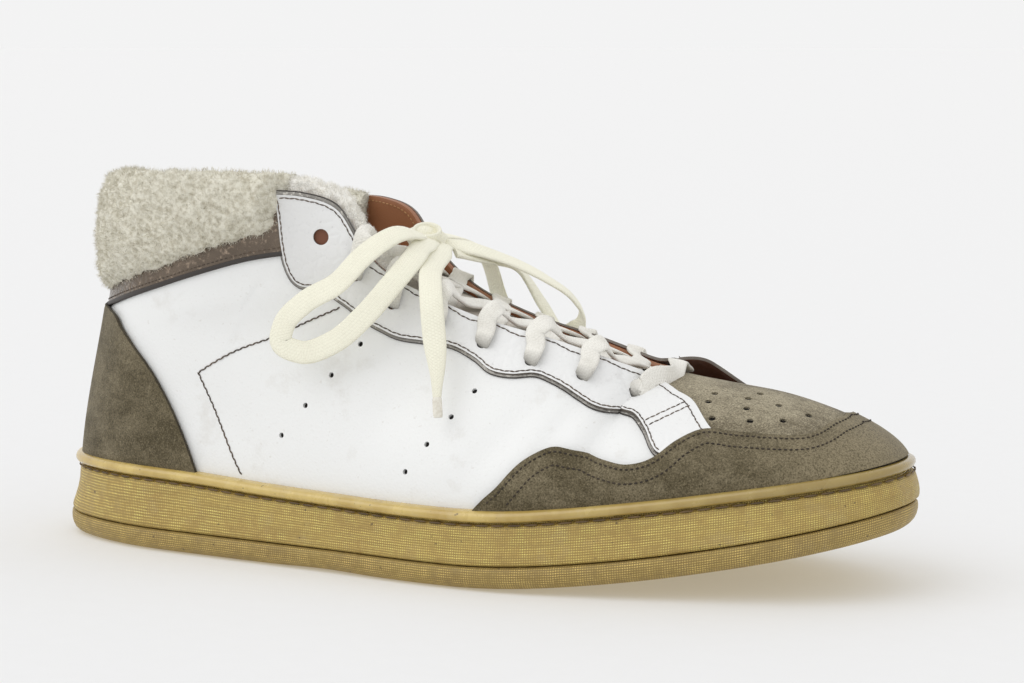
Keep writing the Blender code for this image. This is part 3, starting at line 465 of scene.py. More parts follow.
class Workshop:
    """Tools that make and finish the meshes."""

    @staticmethod
    def alone(obj: bpy.types.Object) -> None:
        """Make an object the only selected and active one."""
        bpy.ops.object.select_all(action="DESELECT")
        obj.select_set(True)
        bpy.context.view_layer.objects.active = obj

    @classmethod
    def sheet(cls, name: str, points: np.ndarray, uv: Optional[np.ndarray] = None) -> bpy.types.Object:
        """Lay a grid over points.

        Args:
            name: Name of the new object.
            points: Rows and columns of points, in millimetres from the heel.
            uv: Flat coordinates of each point, or None.

        Returns:
            The sheet, its faces turned to columns x rows.
        """
        rows, columns = points.shape[:2]
        bpy.ops.object.select_all(action="DESELECT")
        bpy.ops.mesh.primitive_grid_add(x_subdivisions=columns - 1, y_subdivisions=rows - 1, size=2.0)
        obj = bpy.context.object
        obj.name = name
        obj.data.name = name
        flat = np.empty(len(obj.data.vertices) * 3)
        obj.data.vertices.foreach_get("co", flat)
        flat = flat.reshape(-1, 3)
        column = np.rint((flat[:, 0] + 1.0) / 2.0 * (columns - 1)).astype(int)
        row = np.rint((flat[:, 1] + 1.0) / 2.0 * (rows - 1)).astype(int)
        obj.data.vertices.foreach_set("co", FORM.place(points[row, column]).ravel())
        if uv is not None:
            corner = np.empty(len(obj.data.loops), int)
            obj.data.loops.foreach_get("vertex_index", corner)
            obj.data.uv_layers.active.data.foreach_set("uv", uv[row, column][corner].ravel())
        obj.data.update()
        return obj

    @classmethod
    def panel(cls, name: str, side: Side, points: np.ndarray) -> bpy.types.Object:
        """Lay a grid over points of one side, its faces outwards."""
        return cls.sheet(name, points if side is Side.LATERAL else points[:, ::-1])

    @classmethod
    def pair(cls, name: str, halves: Sequence[np.ndarray]) -> bpy.types.Object:
        """Lay one panel over both sides, joined where they meet at the middle."""
        panel = cls.join(name, [cls.panel(name, side, points) for side, points in zip(BOTH, halves)])
        cls.weld(panel, 0.05)
        return panel

    @classmethod
    def apply(cls, obj: bpy.types.Object, kind: str, **settings: object) -> bpy.types.Object:
        """Add a modifier with its settings and apply it."""
        modifier = obj.modifiers.new(kind.lower(), kind)
        for setting, value in settings.items():
            setattr(modifier, setting, value)
        cls.alone(obj)
        bpy.ops.object.modifier_apply(modifier=modifier.name)
        return obj

    @classmethod
    def weld(cls, obj: bpy.types.Object, gap: float, close: bool = False) -> None:
        """Merge doubles, and close a piece's ends and turn its faces outwards where asked.

        Args:
            obj: Piece to weld.
            gap: Distance in millimetres within which vertices merge.
            close: Whether the piece is closed.
        """
        cls.alone(obj)
        bpy.ops.object.mode_set(mode="EDIT")
        bpy.ops.mesh.select_all(action="SELECT")
        bpy.ops.mesh.remove_doubles(threshold=gap * MM)
        if close:
            bpy.ops.mesh.select_all(action="SELECT")
            bpy.ops.mesh.fill_holes(sides=0)
            bpy.ops.mesh.select_all(action="SELECT")
            bpy.ops.mesh.normals_make_consistent(inside=False)
        bpy.ops.object.mode_set(mode="OBJECT")

    @classmethod
    def join(cls, name: str, pieces: Sequence[bpy.types.Object]) -> bpy.types.Object:
        """Join pieces into the first one and name it."""
        bpy.ops.object.select_all(action="DESELECT")
        for piece in pieces:
            piece.select_set(True)
        bpy.context.view_layer.objects.active = pieces[0]
        if len(pieces) > 1:
            bpy.ops.object.join()
        pieces[0].name = name
        pieces[0].data.name = name
        return pieces[0]

    @classmethod
    def wall(cls, obj: bpy.types.Object, thickness: float, offset: float, rounding: float = 0.3,
             inner: int = 0, rim: int = 0) -> bpy.types.Object:
        """Give a sheet its wall and round its cut edges.

        Args:
            obj: The sheet.
            thickness: Wall in millimetres.
            offset: -1 for a wall inwards, 1 outwards.
            rounding: Radius of the edges, or 0.
            inner: Material number of the inner face, counted from the outer one.
            rim: The same for the cut edges.

        Returns:
            The same object.
        """
        cls.apply(obj, "SOLIDIFY", thickness=thickness * MM, offset=offset, use_even_offset=False,
                  use_quality_normals=True, material_offset=inner, material_offset_rim=rim)
        if rounding > 0.0:
            cls.round(obj, rounding)
        return obj

    @classmethod
    def round(cls, obj: bpy.types.Object, rounding: float) -> None:
        """Round the sharp edges of a piece; the radius is in millimetres."""
        cls.apply(obj, "BEVEL", width=rounding * MM, segments=2, limit_method="ANGLE",
                  angle_limit=math.radians(50.0), harden_normals=False)

    @classmethod
    def cut(cls, obj: bpy.types.Object, cutter: bpy.types.Object) -> None:
        """Cut a form out of a piece, and remove the form."""
        cls.apply(obj, "BOOLEAN", operation="DIFFERENCE", object=cutter, solver="EXACT")
        bpy.data.objects.remove(cutter, do_unlink=True)

    @classmethod
    def pierce(cls, obj: bpy.types.Object, holes: Sequence[tuple[np.ndarray, np.ndarray, float]]) -> None:
        """Open round holes in a fine sheet: faces inside them go, and their rims are drawn to circles.

        Args:
            obj: The open sheet.
            holes: Middle, outward direction and radius of each hole, in millimetres from the heel.
        """
        flat = np.empty(len(obj.data.vertices) * 3)
        obj.data.vertices.foreach_get("co", flat)
        spots = flat.reshape(-1, 3)
        faces = np.array([face.vertices[:] for face in obj.data.polygons])
        gone = np.zeros(len(spots), bool)
        for middle, normal, radius in holes:
            away = spots - FORM.place(middle)
            flush = away - np.outer(away @ normal, normal)
            reach = np.linalg.norm(flush, axis=1)
            near = np.linalg.norm(away, axis=1) < 4.0 * radius * MM
            inside = near & (reach < radius * MM)
            rim = np.zeros(len(spots), bool)
            rim[faces[inside[faces].any(axis=1)]] = True
            rim &= ~inside
            spots[rim] += flush[rim] * (radius * MM / reach[rim] - 1.0)[:, None]
            gone |= inside
        obj.data.vertices.foreach_set("co", spots.ravel())
        cls.alone(obj)
        bpy.ops.object.mode_set(mode="EDIT")
        bpy.ops.mesh.select_mode(type="VERT")
        bpy.ops.mesh.select_all(action="DESELECT")
        bpy.ops.object.mode_set(mode="OBJECT")
        obj.data.vertices.foreach_set("select", gone)
        bpy.ops.object.mode_set(mode="EDIT")
        bpy.ops.mesh.delete(type="VERT")
        bpy.ops.object.mode_set(mode="OBJECT")

    @classmethod
    def copies(cls, name: str, shape: bpy.types.Object, middles: Sequence[np.ndarray],
               axes: Sequence[np.ndarray]) -> bpy.types.Object:
        """Copy one small shape to many places as one mesh, and remove the shape.

        Args:
            name: Name of the joined piece.
            shape: Small shape of unit size at the origin.
            middles: Place of each copy, in millimetres from the heel.
            axes: Three scaled axes of each copy, one a row.

        Returns:
            The joined piece.
        """
        verts = np.array([vert.co[:] for vert in shape.data.vertices])
        faces = [tuple(face.vertices) for face in shape.data.polygons]
        laid = FORM.place(np.einsum("vk,nkj->nvj", verts, np.array(axes)) + np.array(middles)[:, None, :])
        starts = range(0, len(verts) * len(middles), len(verts))
        joined = [tuple(start + index for index in face) for start in starts for face in faces]
        mesh = bpy.data.meshes.new(name)
        mesh.from_pydata(laid.reshape(-1, 3).tolist(), [], joined)
        mesh.shade_smooth()
        bpy.data.objects.remove(shape, do_unlink=True)
        obj = bpy.data.objects.new(name, mesh)
        bpy.context.scene.collection.objects.link(obj)
        return obj

    @classmethod
    def ribbon(cls, name: str, points: np.ndarray, facing: np.ndarray, width: float | np.ndarray,
               thickness: float | np.ndarray) -> bpy.types.Object:
        """Draw a flat woven band along a route.

        Args:
            name: Name of the band.
            points: Middle line, in millimetres from the heel.
            facing: Direction that the flat face looks at each point.
            width: Width, or the width at each point.
            thickness: Thickness, or the thickness at each point.

        Returns:
            The closed band, with a map of its run and its girth in millimetres.
        """
        run = run_lengths(points)
        tangent = unit(np.gradient(points, axis=0))
        side = unit(np.cross(tangent, facing))
        up = np.cross(side, tangent)
        turns = np.linspace(0.0, 2.0 * math.pi, 17)
        flat = np.sign(np.cos(turns)) * np.abs(np.cos(turns)) ** 0.75
        proud = np.sign(np.sin(turns)) * np.abs(np.sin(turns)) ** 0.55
        width, thickness = (np.broadcast_to(size, len(points)) for size in (width, thickness))
        grid = (points[:, None] + side[:, None] * (flat * 0.5)[None, :, None] * width[:, None, None]
                + up[:, None] * (proud * 0.5)[None, :, None] * thickness[:, None, None])
        girth = turns / (2.0 * math.pi) * 2.0 * float(np.max(width))
        uv = np.stack(np.broadcast_arrays(run[:, None], girth[None, :]), -1)
        obj = cls.sheet(name, grid, uv)
        cls.weld(obj, 0.005, close=True)
        cls.alone(obj)
        bpy.ops.object.shade_smooth()
        return obj

    @classmethod
    def dress(cls, obj: bpy.types.Object, finishes: Sequence[Finish]) -> None:
        """Give a piece its finishes, in the order of its faces' numbers."""
        for number, finish in enumerate(finishes):
            if number < len(obj.data.materials):
                obj.data.materials[number] = finish.material()
            else:
                obj.data.materials.append(finish.material())

    @classmethod
    def done(cls, obj: bpy.types.Object, finishes: Sequence[Finish], slot: str,
             nodes: Sequence[str] = (), angle: float = 45.0) -> bpy.types.Object:
        """Dress a piece, smooth it, and tie it to the frame.

        Args:
            obj: The piece.
            finishes: Its finishes, in the order of its faces' numbers, or none if it has them.
            slot: Name of a material slot; not used.
            nodes: CAD nodes that the piece stands for.
            angle: Angle in degrees beyond which edges stay sharp.

        Returns:
            The same object.
        """
        cls.dress(obj, finishes)
        cls.alone(obj)
        bpy.ops.object.shade_smooth_by_angle(angle=math.radians(angle))
        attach(obj, "root")
        if nodes:
            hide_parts(*nodes)
        LOG.info("%s: %d faces", obj.name, len(obj.data.polygons))
        return obj


@dataclass(frozen=True)
class Seam:
    """A row of sewn stitches, in millimetres."""

    pitch: float = 2.4
    share: float = 0.78
    width: float = 0.55
    height: float = 0.4
    slant: float = 0.0
    reach: float = 0.2

    def sew(self, name: str, lines: Sequence[tuple[np.ndarray, np.ndarray]]) -> bpy.types.Object:
        """Sew stitches along lines.

        Args:
            name: Name of the joined stitches.
            lines: Pairs of a line's points and the outward directions there.

        Returns:
            All the stitches as one mesh.
        """
        middles = []
        axes = []
        for points, normals in lines:
            run = run_lengths(points)
            count = max(1, int(run[-1] / self.pitch))
            at = (np.arange(count) + 0.5) * run[-1] / count
            normal = unit(between(at, run, normals))
            tangent = unit(between(at + self.reach, run, points) - between(at - self.reach, run, points))
            across = unit(np.cross(normal, tangent))
            lean = self.slant * np.where(np.arange(count) % 2 == 0, 1.0, -1.0)[:, None]
            tangent = unit(tangent + lean * across)
            across = unit(np.cross(normal, tangent))
            middles.append(between(at, run, points))
            axes.append(np.stack([across * self.width / 2.0, normal * self.height / 2.0,
                                  tangent * self.pitch * self.share / 2.0], 1))
        bpy.ops.object.select_all(action="DESELECT")
        bpy.ops.mesh.primitive_uv_sphere_add(segments=6, ring_count=5, radius=1.0)
        return Workshop.copies(name, bpy.context.object, np.concatenate(middles), np.concatenate(axes))


def over_last(side: Side, t: np.ndarray, v: np.ndarray,
              rise: float | np.ndarray) -> tuple[np.ndarray, np.ndarray]:
    """Points at a distance outside the last, and the outward directions there."""
    return FORM.surface(side, t, v, rise), FORM.normal(side, t, v)


def rib_line(side: Side, rows: Rows, rise: float, step: float = 0.6) -> tuple[np.ndarray, np.ndarray]:
    """Draw a line over the last through places given as shares of the length and rib heights.

    Args:
        side: Side of the shoe.
        rows: Places that the line goes through.
        rise: Distance outside the last.
        step: Distance between the points, in millimetres.

    Returns:
        The line's points and the outward directions there.
    """
    girth, height = 400.0, 100.0
    table = np.array(rows)
    even = even_curve(np.stack([station(table[:, 0]) * girth, table[:, 1] * height], -1), step)
    return over_last(side, even[:, 0] / girth, even[:, 1] / height, rise)


Colour = tuple[float, float, float]
Socket = bpy.types.NodeSocket


def toned(colour: Colour, factor: float, lift: float = 0.0) -> Colour:
    """Colour made lighter or darker, each channel at most 1."""
    return tuple(min(channel * factor + lift, 1.0) for channel in colour)


class Nodes:
    """Writes the nodes of one material or node group."""

    def __init__(self, tree: bpy.types.NodeTree) -> None:
        """Take the tree to write in."""
        self.tree = tree

    def add(self, kind: str, **values: object) -> bpy.types.Node:
        """Add a node; values that name an input are set or linked, others are settings.

        Args:
            kind: Blender's name of the node type.
            **values: Inputs (spaces written as _) and settings of the node.

        Returns:
            The new node.
        """
        node = self.tree.nodes.new(kind)
        later = {}
        for name, value in values.items():
            if hasattr(node, name):
                setattr(node, name, value)
            else:
                later[name] = value
        self.give(node, **later)
        return node

    def give(self, node: bpy.types.Node, **values: object) -> None:
        """Set or link inputs of a node; i and a number stand for an input's place, _ for a space."""
        for name, value in values.items():
            key = int(name[1:]) if name[0] == "i" and name[1:].isdigit() else name.replace("_", " ")
            self.feed(node.inputs[key], value)

    def feed(self, socket: Socket, value: object) -> None:
        """Link a socket to another, or set its value."""
        if isinstance(value, Socket):
            self.tree.links.new(value, socket)
        else:
            socket.default_value = value

    def noise(self, vector: Socket, scale: float | Socket, detail: float = 3.0,
              rough: float = 0.55) -> Socket:
        """Noise over a surface, around one half."""
        node = self.add("ShaderNodeTexNoise", Vector=vector, Scale=scale, Detail=detail, Roughness=rough)
        return node.outputs[0]

    def math(self, operation: str, first: object, second: object = 0.0, third: object = 0.0) -> Socket:
        """Result of one calculation."""
        return self.add("ShaderNodeMath", operation=operation, i0=first, i1=second, i2=third).outputs[0]

    def span(self, value: object, low: object, high: float, start: float = 0.0, end: float = 1.0) -> Socket:
        """Value brought from one range to another and held there."""
        node = self.add("ShaderNodeMapRange", clamp=True, i0=value, i1=low, i2=high, i3=start, i4=end)
        return node.outputs[0]

    def part(self, vector: Socket, axis: int = 0) -> Socket:
        """One coordinate of a place."""
        return self.add("ShaderNodeSeparateXYZ", Vector=vector).outputs[axis]

    def wave(self, value: Socket, turn: object) -> Socket:
        """Sine of a value times the turn per unit."""
        return self.math("SINE", self.math("MULTIPLY", value, turn))

    def mix(self, share: Socket, first: Colour | Socket, second: Colour) -> Socket:
        """Colour between two others."""
        node = self.add("ShaderNodeMix", data_type="RGBA", i0=share)
        for number, value in ((6, first), (7, second)):
            self.feed(node.inputs[number], (*value, 1.0) if isinstance(value, tuple) else value)
        return node.outputs[2]

    def over(self, base: Colour | Socket, colour: Colour, mask: Socket, strength: float) -> Socket:
        """Colour laid over another where a mask shows, at a given strength."""
        return self.mix(self.math("MULTIPLY", mask, strength), base, colour)

    def bump(self, height: Socket, distance: float, under: Optional[Socket] = None) -> Socket:
        """Direction of a surface with small heights; distance is in millimetres."""
        node = self.add("ShaderNodeBump", Height=height, Distance=distance * MM, Strength=1.0)
        if under is not None:
            self.feed(node.inputs["Normal"], under)
        return node.outputs[0]


class Effects:
    """Node groups that several finishes share, each built once."""

    made: dict[str, bpy.types.NodeTree] = {}

    @classmethod
    def place(cls, nodes: Nodes, name: str, outputs: Sequence[str], write: Callable[..., Sequence[Socket]],
              vector: Socket, **values: float) -> bpy.types.Node:
        """Place an effect in a material; its group is written at the first use.

        Args:
            nodes: The material's nodes.
            name: Name of the effect.
            outputs: Names of the values that the group gives.
            write: Writes the group's nodes from its inputs and gives the outputs' sockets.
            vector: Place that the effect reads.
            **values: The group's other inputs.

        Returns:
            The effect's node.
        """
        if name not in cls.made:
            tree = bpy.data.node_groups.new(name, "ShaderNodeTree")
            tree.interface.new_socket("Vector", in_out="INPUT", socket_type="NodeSocketVector")
            for title in values:
                tree.interface.new_socket(title, in_out="INPUT", socket_type="NodeSocketFloat")
            for title in outputs:
                tree.interface.new_socket(title, in_out="OUTPUT", socket_type="NodeSocketFloat")
            inner = Nodes(tree)
            entry = inner.add("NodeGroupInput")
            leave = inner.add("NodeGroupOutput")
            results = write(inner, *entry.outputs[:1 + len(values)])
            inner.give(leave, **dict(zip(outputs, results)))
            cls.made[name] = tree
        return nodes.add("ShaderNodeGroup", node_tree=cls.made[name], Vector=vector, **values)

    @classmethod
    def grain(cls, nodes: Nodes, vector: Socket, scale: float) -> bpy.types.Node:
        """Place the leather grain: pebbles with fine pores. Outputs Height and Pores."""
        def write(inner: Nodes, at: Socket, size: Socket) -> Sequence[Socket]:
            """Write pebbles and pores."""
            cells = inner.add("ShaderNodeTexVoronoi", feature="SMOOTH_F1", Vector=at, Scale=size,
                              Smoothness=0.6)
            fine = inner.noise(at, size, 5.0, 0.5)
            return inner.math("MULTIPLY_ADD", cells.outputs[0], 0.6, fine), inner.span(fine, 0.62, 0.72)

        return cls.place(nodes, "Leather grain", ("Height", "Pores"), write, vector, Scale=scale)

    @classmethod
    def nap(cls, nodes: Nodes, vector: Socket, scale: float) -> bpy.types.Node:
        """Place the suede nap: brushed patches and short fibres. Outputs Patches, Fibre and Height."""
        def write(inner: Nodes, at: Socket, size: Socket) -> Sequence[Socket]:
            """Write wide brushed patches over fine fibres."""
            stretched = inner.add("ShaderNodeMapping", Vector=at, Scale=(0.55, 1.0, 1.0))
            wide = inner.noise(stretched.outputs[0], 95.0, 5.0, 0.62)
            fibre = inner.noise(at, size, 4.0, 0.7)
            middle = inner.noise(at, 420.0, 4.0, 0.65)
            patches = inner.span(inner.math("MULTIPLY_ADD", middle, 0.35, wide), 0.52, 0.80)
            height = inner.math("MULTIPLY_ADD", middle, 0.7, fibre)
            return patches, inner.span(fibre, 0.33, 0.67), height

        return cls.place(nodes, "Suede nap", ("Patches", "Fibre", "Height"), write, vector, Scale=scale)

    @classmethod
    def soiling(cls, nodes: Nodes, vector: Socket, scale: float, reach: float) -> bpy.types.Node:
        """Place wear and dirt, and on the bronze painted dark reflection. Outputs Stain (soft clouds) and
        Specks (small dark spots).
        """
        def write(inner: Nodes, at: Socket, size: Socket, extent: Socket) -> Sequence[Socket]:
            """Write clouds and sparse spots."""
            cloud = inner.noise(at, size, 6.0, 0.65)
            low = inner.math("SUBTRACT", 0.72, inner.math("MULTIPLY", extent, 0.3))
            spots = inner.noise(at, 520.0, 2.0, 0.5)
            return inner.span(cloud, low, 0.80), inner.span(spots, 0.70, 0.76)

        return cls.place(nodes, "Soiling", ("Stain", "Specks"), write, vector, Scale=scale, Reach=reach)

    @classmethod
    def weave(cls, nodes: Nodes, vector: Socket, pitch: float) -> bpy.types.Node:
        """Place a plain weave on a map in millimetres. Outputs Height and Gaps."""
        def write(inner: Nodes, at: Socket, repeat: Socket) -> Sequence[Socket]:
            """Write threads that go over and under one another."""
            turn = inner.math("DIVIDE", 2.0 * math.pi, repeat)
            along, across = (inner.wave(inner.part(at, axis), turn) for axis in (0, 1))
            checks = inner.math("MULTIPLY", along, across)
            gaps = inner.span(inner.math("ABSOLUTE", checks), 0.0, 0.3, 1.0, 0.0)
            return inner.math("MULTIPLY_ADD", checks, 0.5, 0.5), gaps

        return cls.place(nodes, "Cotton weave", ("Height", "Gaps"), write, vector, Pitch=pitch)


@dataclass(frozen=True)
class Finish:
    """A surface finish with its own colours; each kind writes its own nodes."""

    name: str
    colour: Colour
    second: Colour
    roughness: float = 0.6

    def material(self) -> bpy.types.Material:
        """Build the material once."""
        if self.name in bpy.data.materials and bpy.data.materials[self.name].get("sneaker"):
            return bpy.data.materials[self.name]
        material = bpy.data.materials.new(self.name)
        material["sneaker"] = True
        material.use_nodes = True
        nodes = Nodes(material.node_tree)
        shader = material.node_tree.nodes["Principled BSDF"]
        nodes.give(shader, Roughness=self.roughness)
        place = nodes.add("ShaderNodeTexCoord").outputs
        self.write(nodes, shader, place["Object"], place["UV"])
        return material

    def write(self, nodes: Nodes, shader: bpy.types.Node, at: Socket, flat: Socket) -> None:
        """Write soft clouds between the two colours.

        Args:
            nodes: The material's nodes.
            shader: Its surface shader.
            at: Place in the piece.
            flat: Place on the piece's own map, in millimetres.
        """
        cloud = nodes.span(nodes.noise(at, 120.0, 4.0), 0.35, 0.65)
        nodes.give(shader, Base_Color=nodes.mix(cloud, self.colour, self.second))


@dataclass(frozen=True)
class Leather(Finish):
    """Smooth or crinkled leather, plain or with a metal sheen."""

    grain: float = 1100.0
    depth: float = 0.05
    crinkle: float = 0.0
    metallic: float = 0.0
    coat: float = 0.08
    soil: float = 0.25
    painted_rear_shade: float = 0.0

    def write(self, nodes: Nodes, shader: bpy.types.Node, at: Socket, flat: Socket) -> None:
        """Write grain, soft dirt and specks; where asked, painted shade towards the heel and painted glints
        on metal.
        """
        grain = Effects.grain(nodes, at, self.grain).outputs
        soil = Effects.soiling(nodes, at, 55.0, self.soil).outputs
        base = self.colour
        # On the bronze the stain clouds, mixed to its near-black second colour, are painted dark reflection;
        # on the other leathers they are dirt.
        for mask, strength in ((soil["Stain"], 0.6), (soil["Specks"], 0.35), (grain["Pores"], 0.18)):
            base = nodes.over(base, self.second, mask, strength)
        # Painted shade: the colour darkens towards the heel end of the piece, standing in for the shade on
        # the tab's rear.
        if self.painted_rear_shade > 0.0:
            rear = nodes.span(nodes.part(at), -0.06, -0.03, self.painted_rear_shade, 0.0)
            base = nodes.mix(rear, base, self.second)
        # Painted highlights: lighter patches in the metal's base colour stand in for glints of reflected
        # light.
        if self.metallic > 0.0:
            glint = nodes.span(nodes.noise(at, 520.0, 4.0, 0.7), 0.55, 0.68, 0.0, 0.8)
            base = nodes.mix(glint, base, toned(self.colour, 2.6))
        rough = nodes.span(soil["Stain"], 0.0, 1.0, self.roughness, min(self.roughness + 0.2, 1.0))
        normal = nodes.bump(grain["Height"], self.depth)
        if self.crinkle > 0.0:
            folds = nodes.add("ShaderNodeTexVoronoi", feature="DISTANCE_TO_EDGE", Vector=at, Scale=260.0)
            normal = nodes.bump(nodes.span(folds.outputs[0], 0.0, 0.25), self.crinkle, normal)
        nodes.give(shader, Base_Color=base, Metallic=self.metallic, Coat_Weight=self.coat, Coat_Roughness=0.3,
                   Roughness=rough, Normal=normal)


@dataclass(frozen=True)
class Suede(Finish):
    """Napped suede with brushed patches."""

    depth: float = 0.25
    pale: float = 0.85
    tip: float = 0.0

    def write(self, nodes: Nodes, shader: bpy.types.Node, at: Socket, flat: Socket) -> None:
        """Write nap, patches, the rubbed tip of the toe and sheen."""
        nap = Effects.nap(nodes, at, 1900.0).outputs
        light = toned(self.second, 1.55)
        dark = toned(self.colour, 0.45)
        base = nodes.over(self.colour, self.second, nap["Patches"], self.pale)
        base = nodes.over(base, light, nodes.span(nodes.part(at), 0.105, 0.140), self.tip)
        base = nodes.mix(nodes.span(nap["Fibre"], 0.0, 0.6, 0.85, 0.0), base, dark)
        base = nodes.mix(nodes.span(nap["Fibre"], 0.65, 1.0, 0.0, 0.5), base, light)
        nodes.give(shader, Base_Color=base, Sheen_Weight=0.12, Sheen_Roughness=0.5, Specular_IOR_Level=0.15,
                   Normal=nodes.bump(nap["Height"], self.depth))


@dataclass(frozen=True)
class Gum(Finish):
    """Moulded gum rubber; the side wall carries fine pins on a map in millimetres."""

    pins: float = 0.0
    streaks: float = 0.0
    worn: Colour = (0.55, 0.50, 0.45)
    wear: float = 0.3
    toe_darkening: float = 0.0
    coat: float = 0.15
    speck: Colour = (0.05, 0.035, 0.02)

    def write(self, nodes: Nodes, shader: bpy.types.Node, at: Socket, flat: Socket) -> None:
        """Write pins with painted shade between them and painted highlights on their tops, long streaks,
        dirt, wear and a darker tone towards the toe.
        """
        soil = Effects.soiling(nodes, at, 90.0, 0.55).outputs
        cloud = nodes.span(nodes.noise(at, 70.0, 5.0, 0.6), 0.34, 0.66)
        base = nodes.mix(cloud, self.colour, self.second)
        height = nodes.noise(at, 900.0, 4.0, 0.6)
        if self.pins > 0.0:
            pin = self.pin_heights(nodes, at, flat)
            # Painted shade and highlight: the colour darkens between the pins and lightens on their tops.
            base = nodes.mix(nodes.span(pin, 0.0, 0.45, 0.72, 0.0), base, toned(self.colour, 0.42))
            base = nodes.mix(nodes.span(pin, 0.35, 0.95, 0.0, 0.95), base, toned(self.second, 1.75, 0.03))
            height = nodes.math("ADD", nodes.math("MULTIPLY", height, 0.5), pin)
        if self.streaks > 0.0:
            long = nodes.add("ShaderNodeMapping", Vector=flat, Scale=(0.012, 0.85, 1.0))
            line = nodes.span(nodes.noise(long.outputs[0], 3.0, 4.0, 0.7), 0.42, 0.66)
            base = nodes.over(base, toned(self.colour, 0.5), line, self.streaks)
        base = nodes.over(base, self.worn, soil["Stain"], self.wear)
        base = nodes.over(base, self.speck, soil["Specks"], 0.7)
        # Darker towards the toe.
        front = nodes.span(nodes.part(at), 0.02, 0.13)
        base = nodes.over(base, toned(self.colour, 0.35), front, self.toe_darkening)
        nodes.give(shader, Base_Color=base, Coat_Weight=self.coat, Coat_Roughness=0.25,
                   Roughness=nodes.span(cloud, 0.0, 1.0, self.roughness, self.roughness + 0.15),
                   Normal=nodes.bump(height, 0.22 if self.pins > 0.0 else 0.05))

    def pin_heights(self, nodes: Nodes, at: Socket, flat: Socket) -> Socket:
        """Heights of the worn pins in their rows."""
        shift = nodes.math("MULTIPLY", nodes.noise(at, 260.0, 3.0), 0.4)
        turn = 2.0 * math.pi / self.pins
        along, upward = (nodes.wave(nodes.math("ADD", nodes.part(flat, axis), shift), turn)
                         for axis in (0, 1))
        pin = nodes.span(nodes.math("MULTIPLY_ADD", along, 0.75, upward), -0.4, 1.45)
        worn = nodes.span(nodes.noise(at, 210.0, 4.0, 0.7), 0.35, 0.65, 0.25, 1.0)
        return nodes.math("MULTIPLY", pin, worn)


@dataclass(frozen=True)
class Wool(Finish):
    """Curled fleece; where set, its glow is painted light, a faint self-lit lift for pile that lies in shade.
    """

    glow: float = 0.0

    def write(self, nodes: Nodes, shader: bpy.types.Node, at: Socket, flat: Socket) -> None:
        """Write pale curls over darker patches: partly the wool's darker roots, partly painted shade between
        the curls.
        """
        curls = nodes.noise(at, 560.0, 4.0, 0.6)
        wide = nodes.span(nodes.noise(at, 45.0, 3.0), 0.35, 0.65, 0.0, 0.35)
        # Painted shade: the darker second colour, mixed at curl size, stands partly for shade between the
        # curls.
        base = nodes.mix(nodes.span(curls, 0.36, 0.56, 1.0, 0.0), self.colour, self.second)
        base = nodes.mix(wide, base, toned(self.colour, 0.86))
        # The emission is painted light where glow is set.
        nodes.give(shader, Base_Color=base, Emission_Color=base, Emission_Strength=self.glow,
                   Sheen_Weight=0.25, Specular_IOR_Level=0.1,
                   Normal=nodes.bump(nodes.noise(at, 1300.0, 4.0, 0.7), 0.35))


@dataclass(frozen=True)
class Cotton(Finish):
    """Flat woven lace with painted shade near the holes."""

    pitch: float = 1.1
    soil: float = 0.3
    painted_hole_shade: float = 0.0

    def write(self, nodes: Nodes, shader: bpy.types.Node, at: Socket, flat: Socket) -> None:
        """Write weave, felted fuzz, dirt and painted shade near the holes."""
        weave = Effects.weave(nodes, flat, self.pitch).outputs
        soil = Effects.soiling(nodes, at, 140.0, 0.9).outputs
        fuzz = nodes.noise(at, 1700.0, 4.0, 0.7)
        base = nodes.over(self.colour, self.second, weave["Gaps"], 0.22)
        base = nodes.over(base, self.second, soil["Stain"], self.soil)
        base = nodes.mix(nodes.span(fuzz, 0.3, 0.5, 0.25, 0.0), base, self.second)
        # Painted shade: the strand darkens over its first millimetres, where it goes into its hole.
        hole_shade_mask = nodes.span(nodes.part(flat), 4.5, 9.5, 1.0, 0.0)
        base = nodes.over(base, toned(self.second, 0.3), hole_shade_mask, self.painted_hole_shade)
        height = nodes.math("MULTIPLY_ADD", fuzz, 0.6, weave["Height"])
        nodes.give(shader, Base_Color=base, Sheen_Weight=0.2, Specular_IOR_Level=0.2,
                   Normal=nodes.bump(height, 0.14))


@dataclass(frozen=True)
class Clear(Finish):
    """Clear plastic film round a lace's tip."""

    def write(self, nodes: Nodes, shader: bpy.types.Node, at: Socket, flat: Socket) -> None:
        """Write a glossy film with fine scratches over the pale lace."""
        scratch = nodes.span(nodes.noise(at, 800.0, 3.0), 0.4, 0.7)
        nodes.give(shader, Base_Color=nodes.mix(scratch, self.colour, self.second), Coat_Weight=0.6,
                   Coat_Roughness=0.1, Roughness=nodes.span(scratch, 0.0, 1.0, 0.12, 0.3))


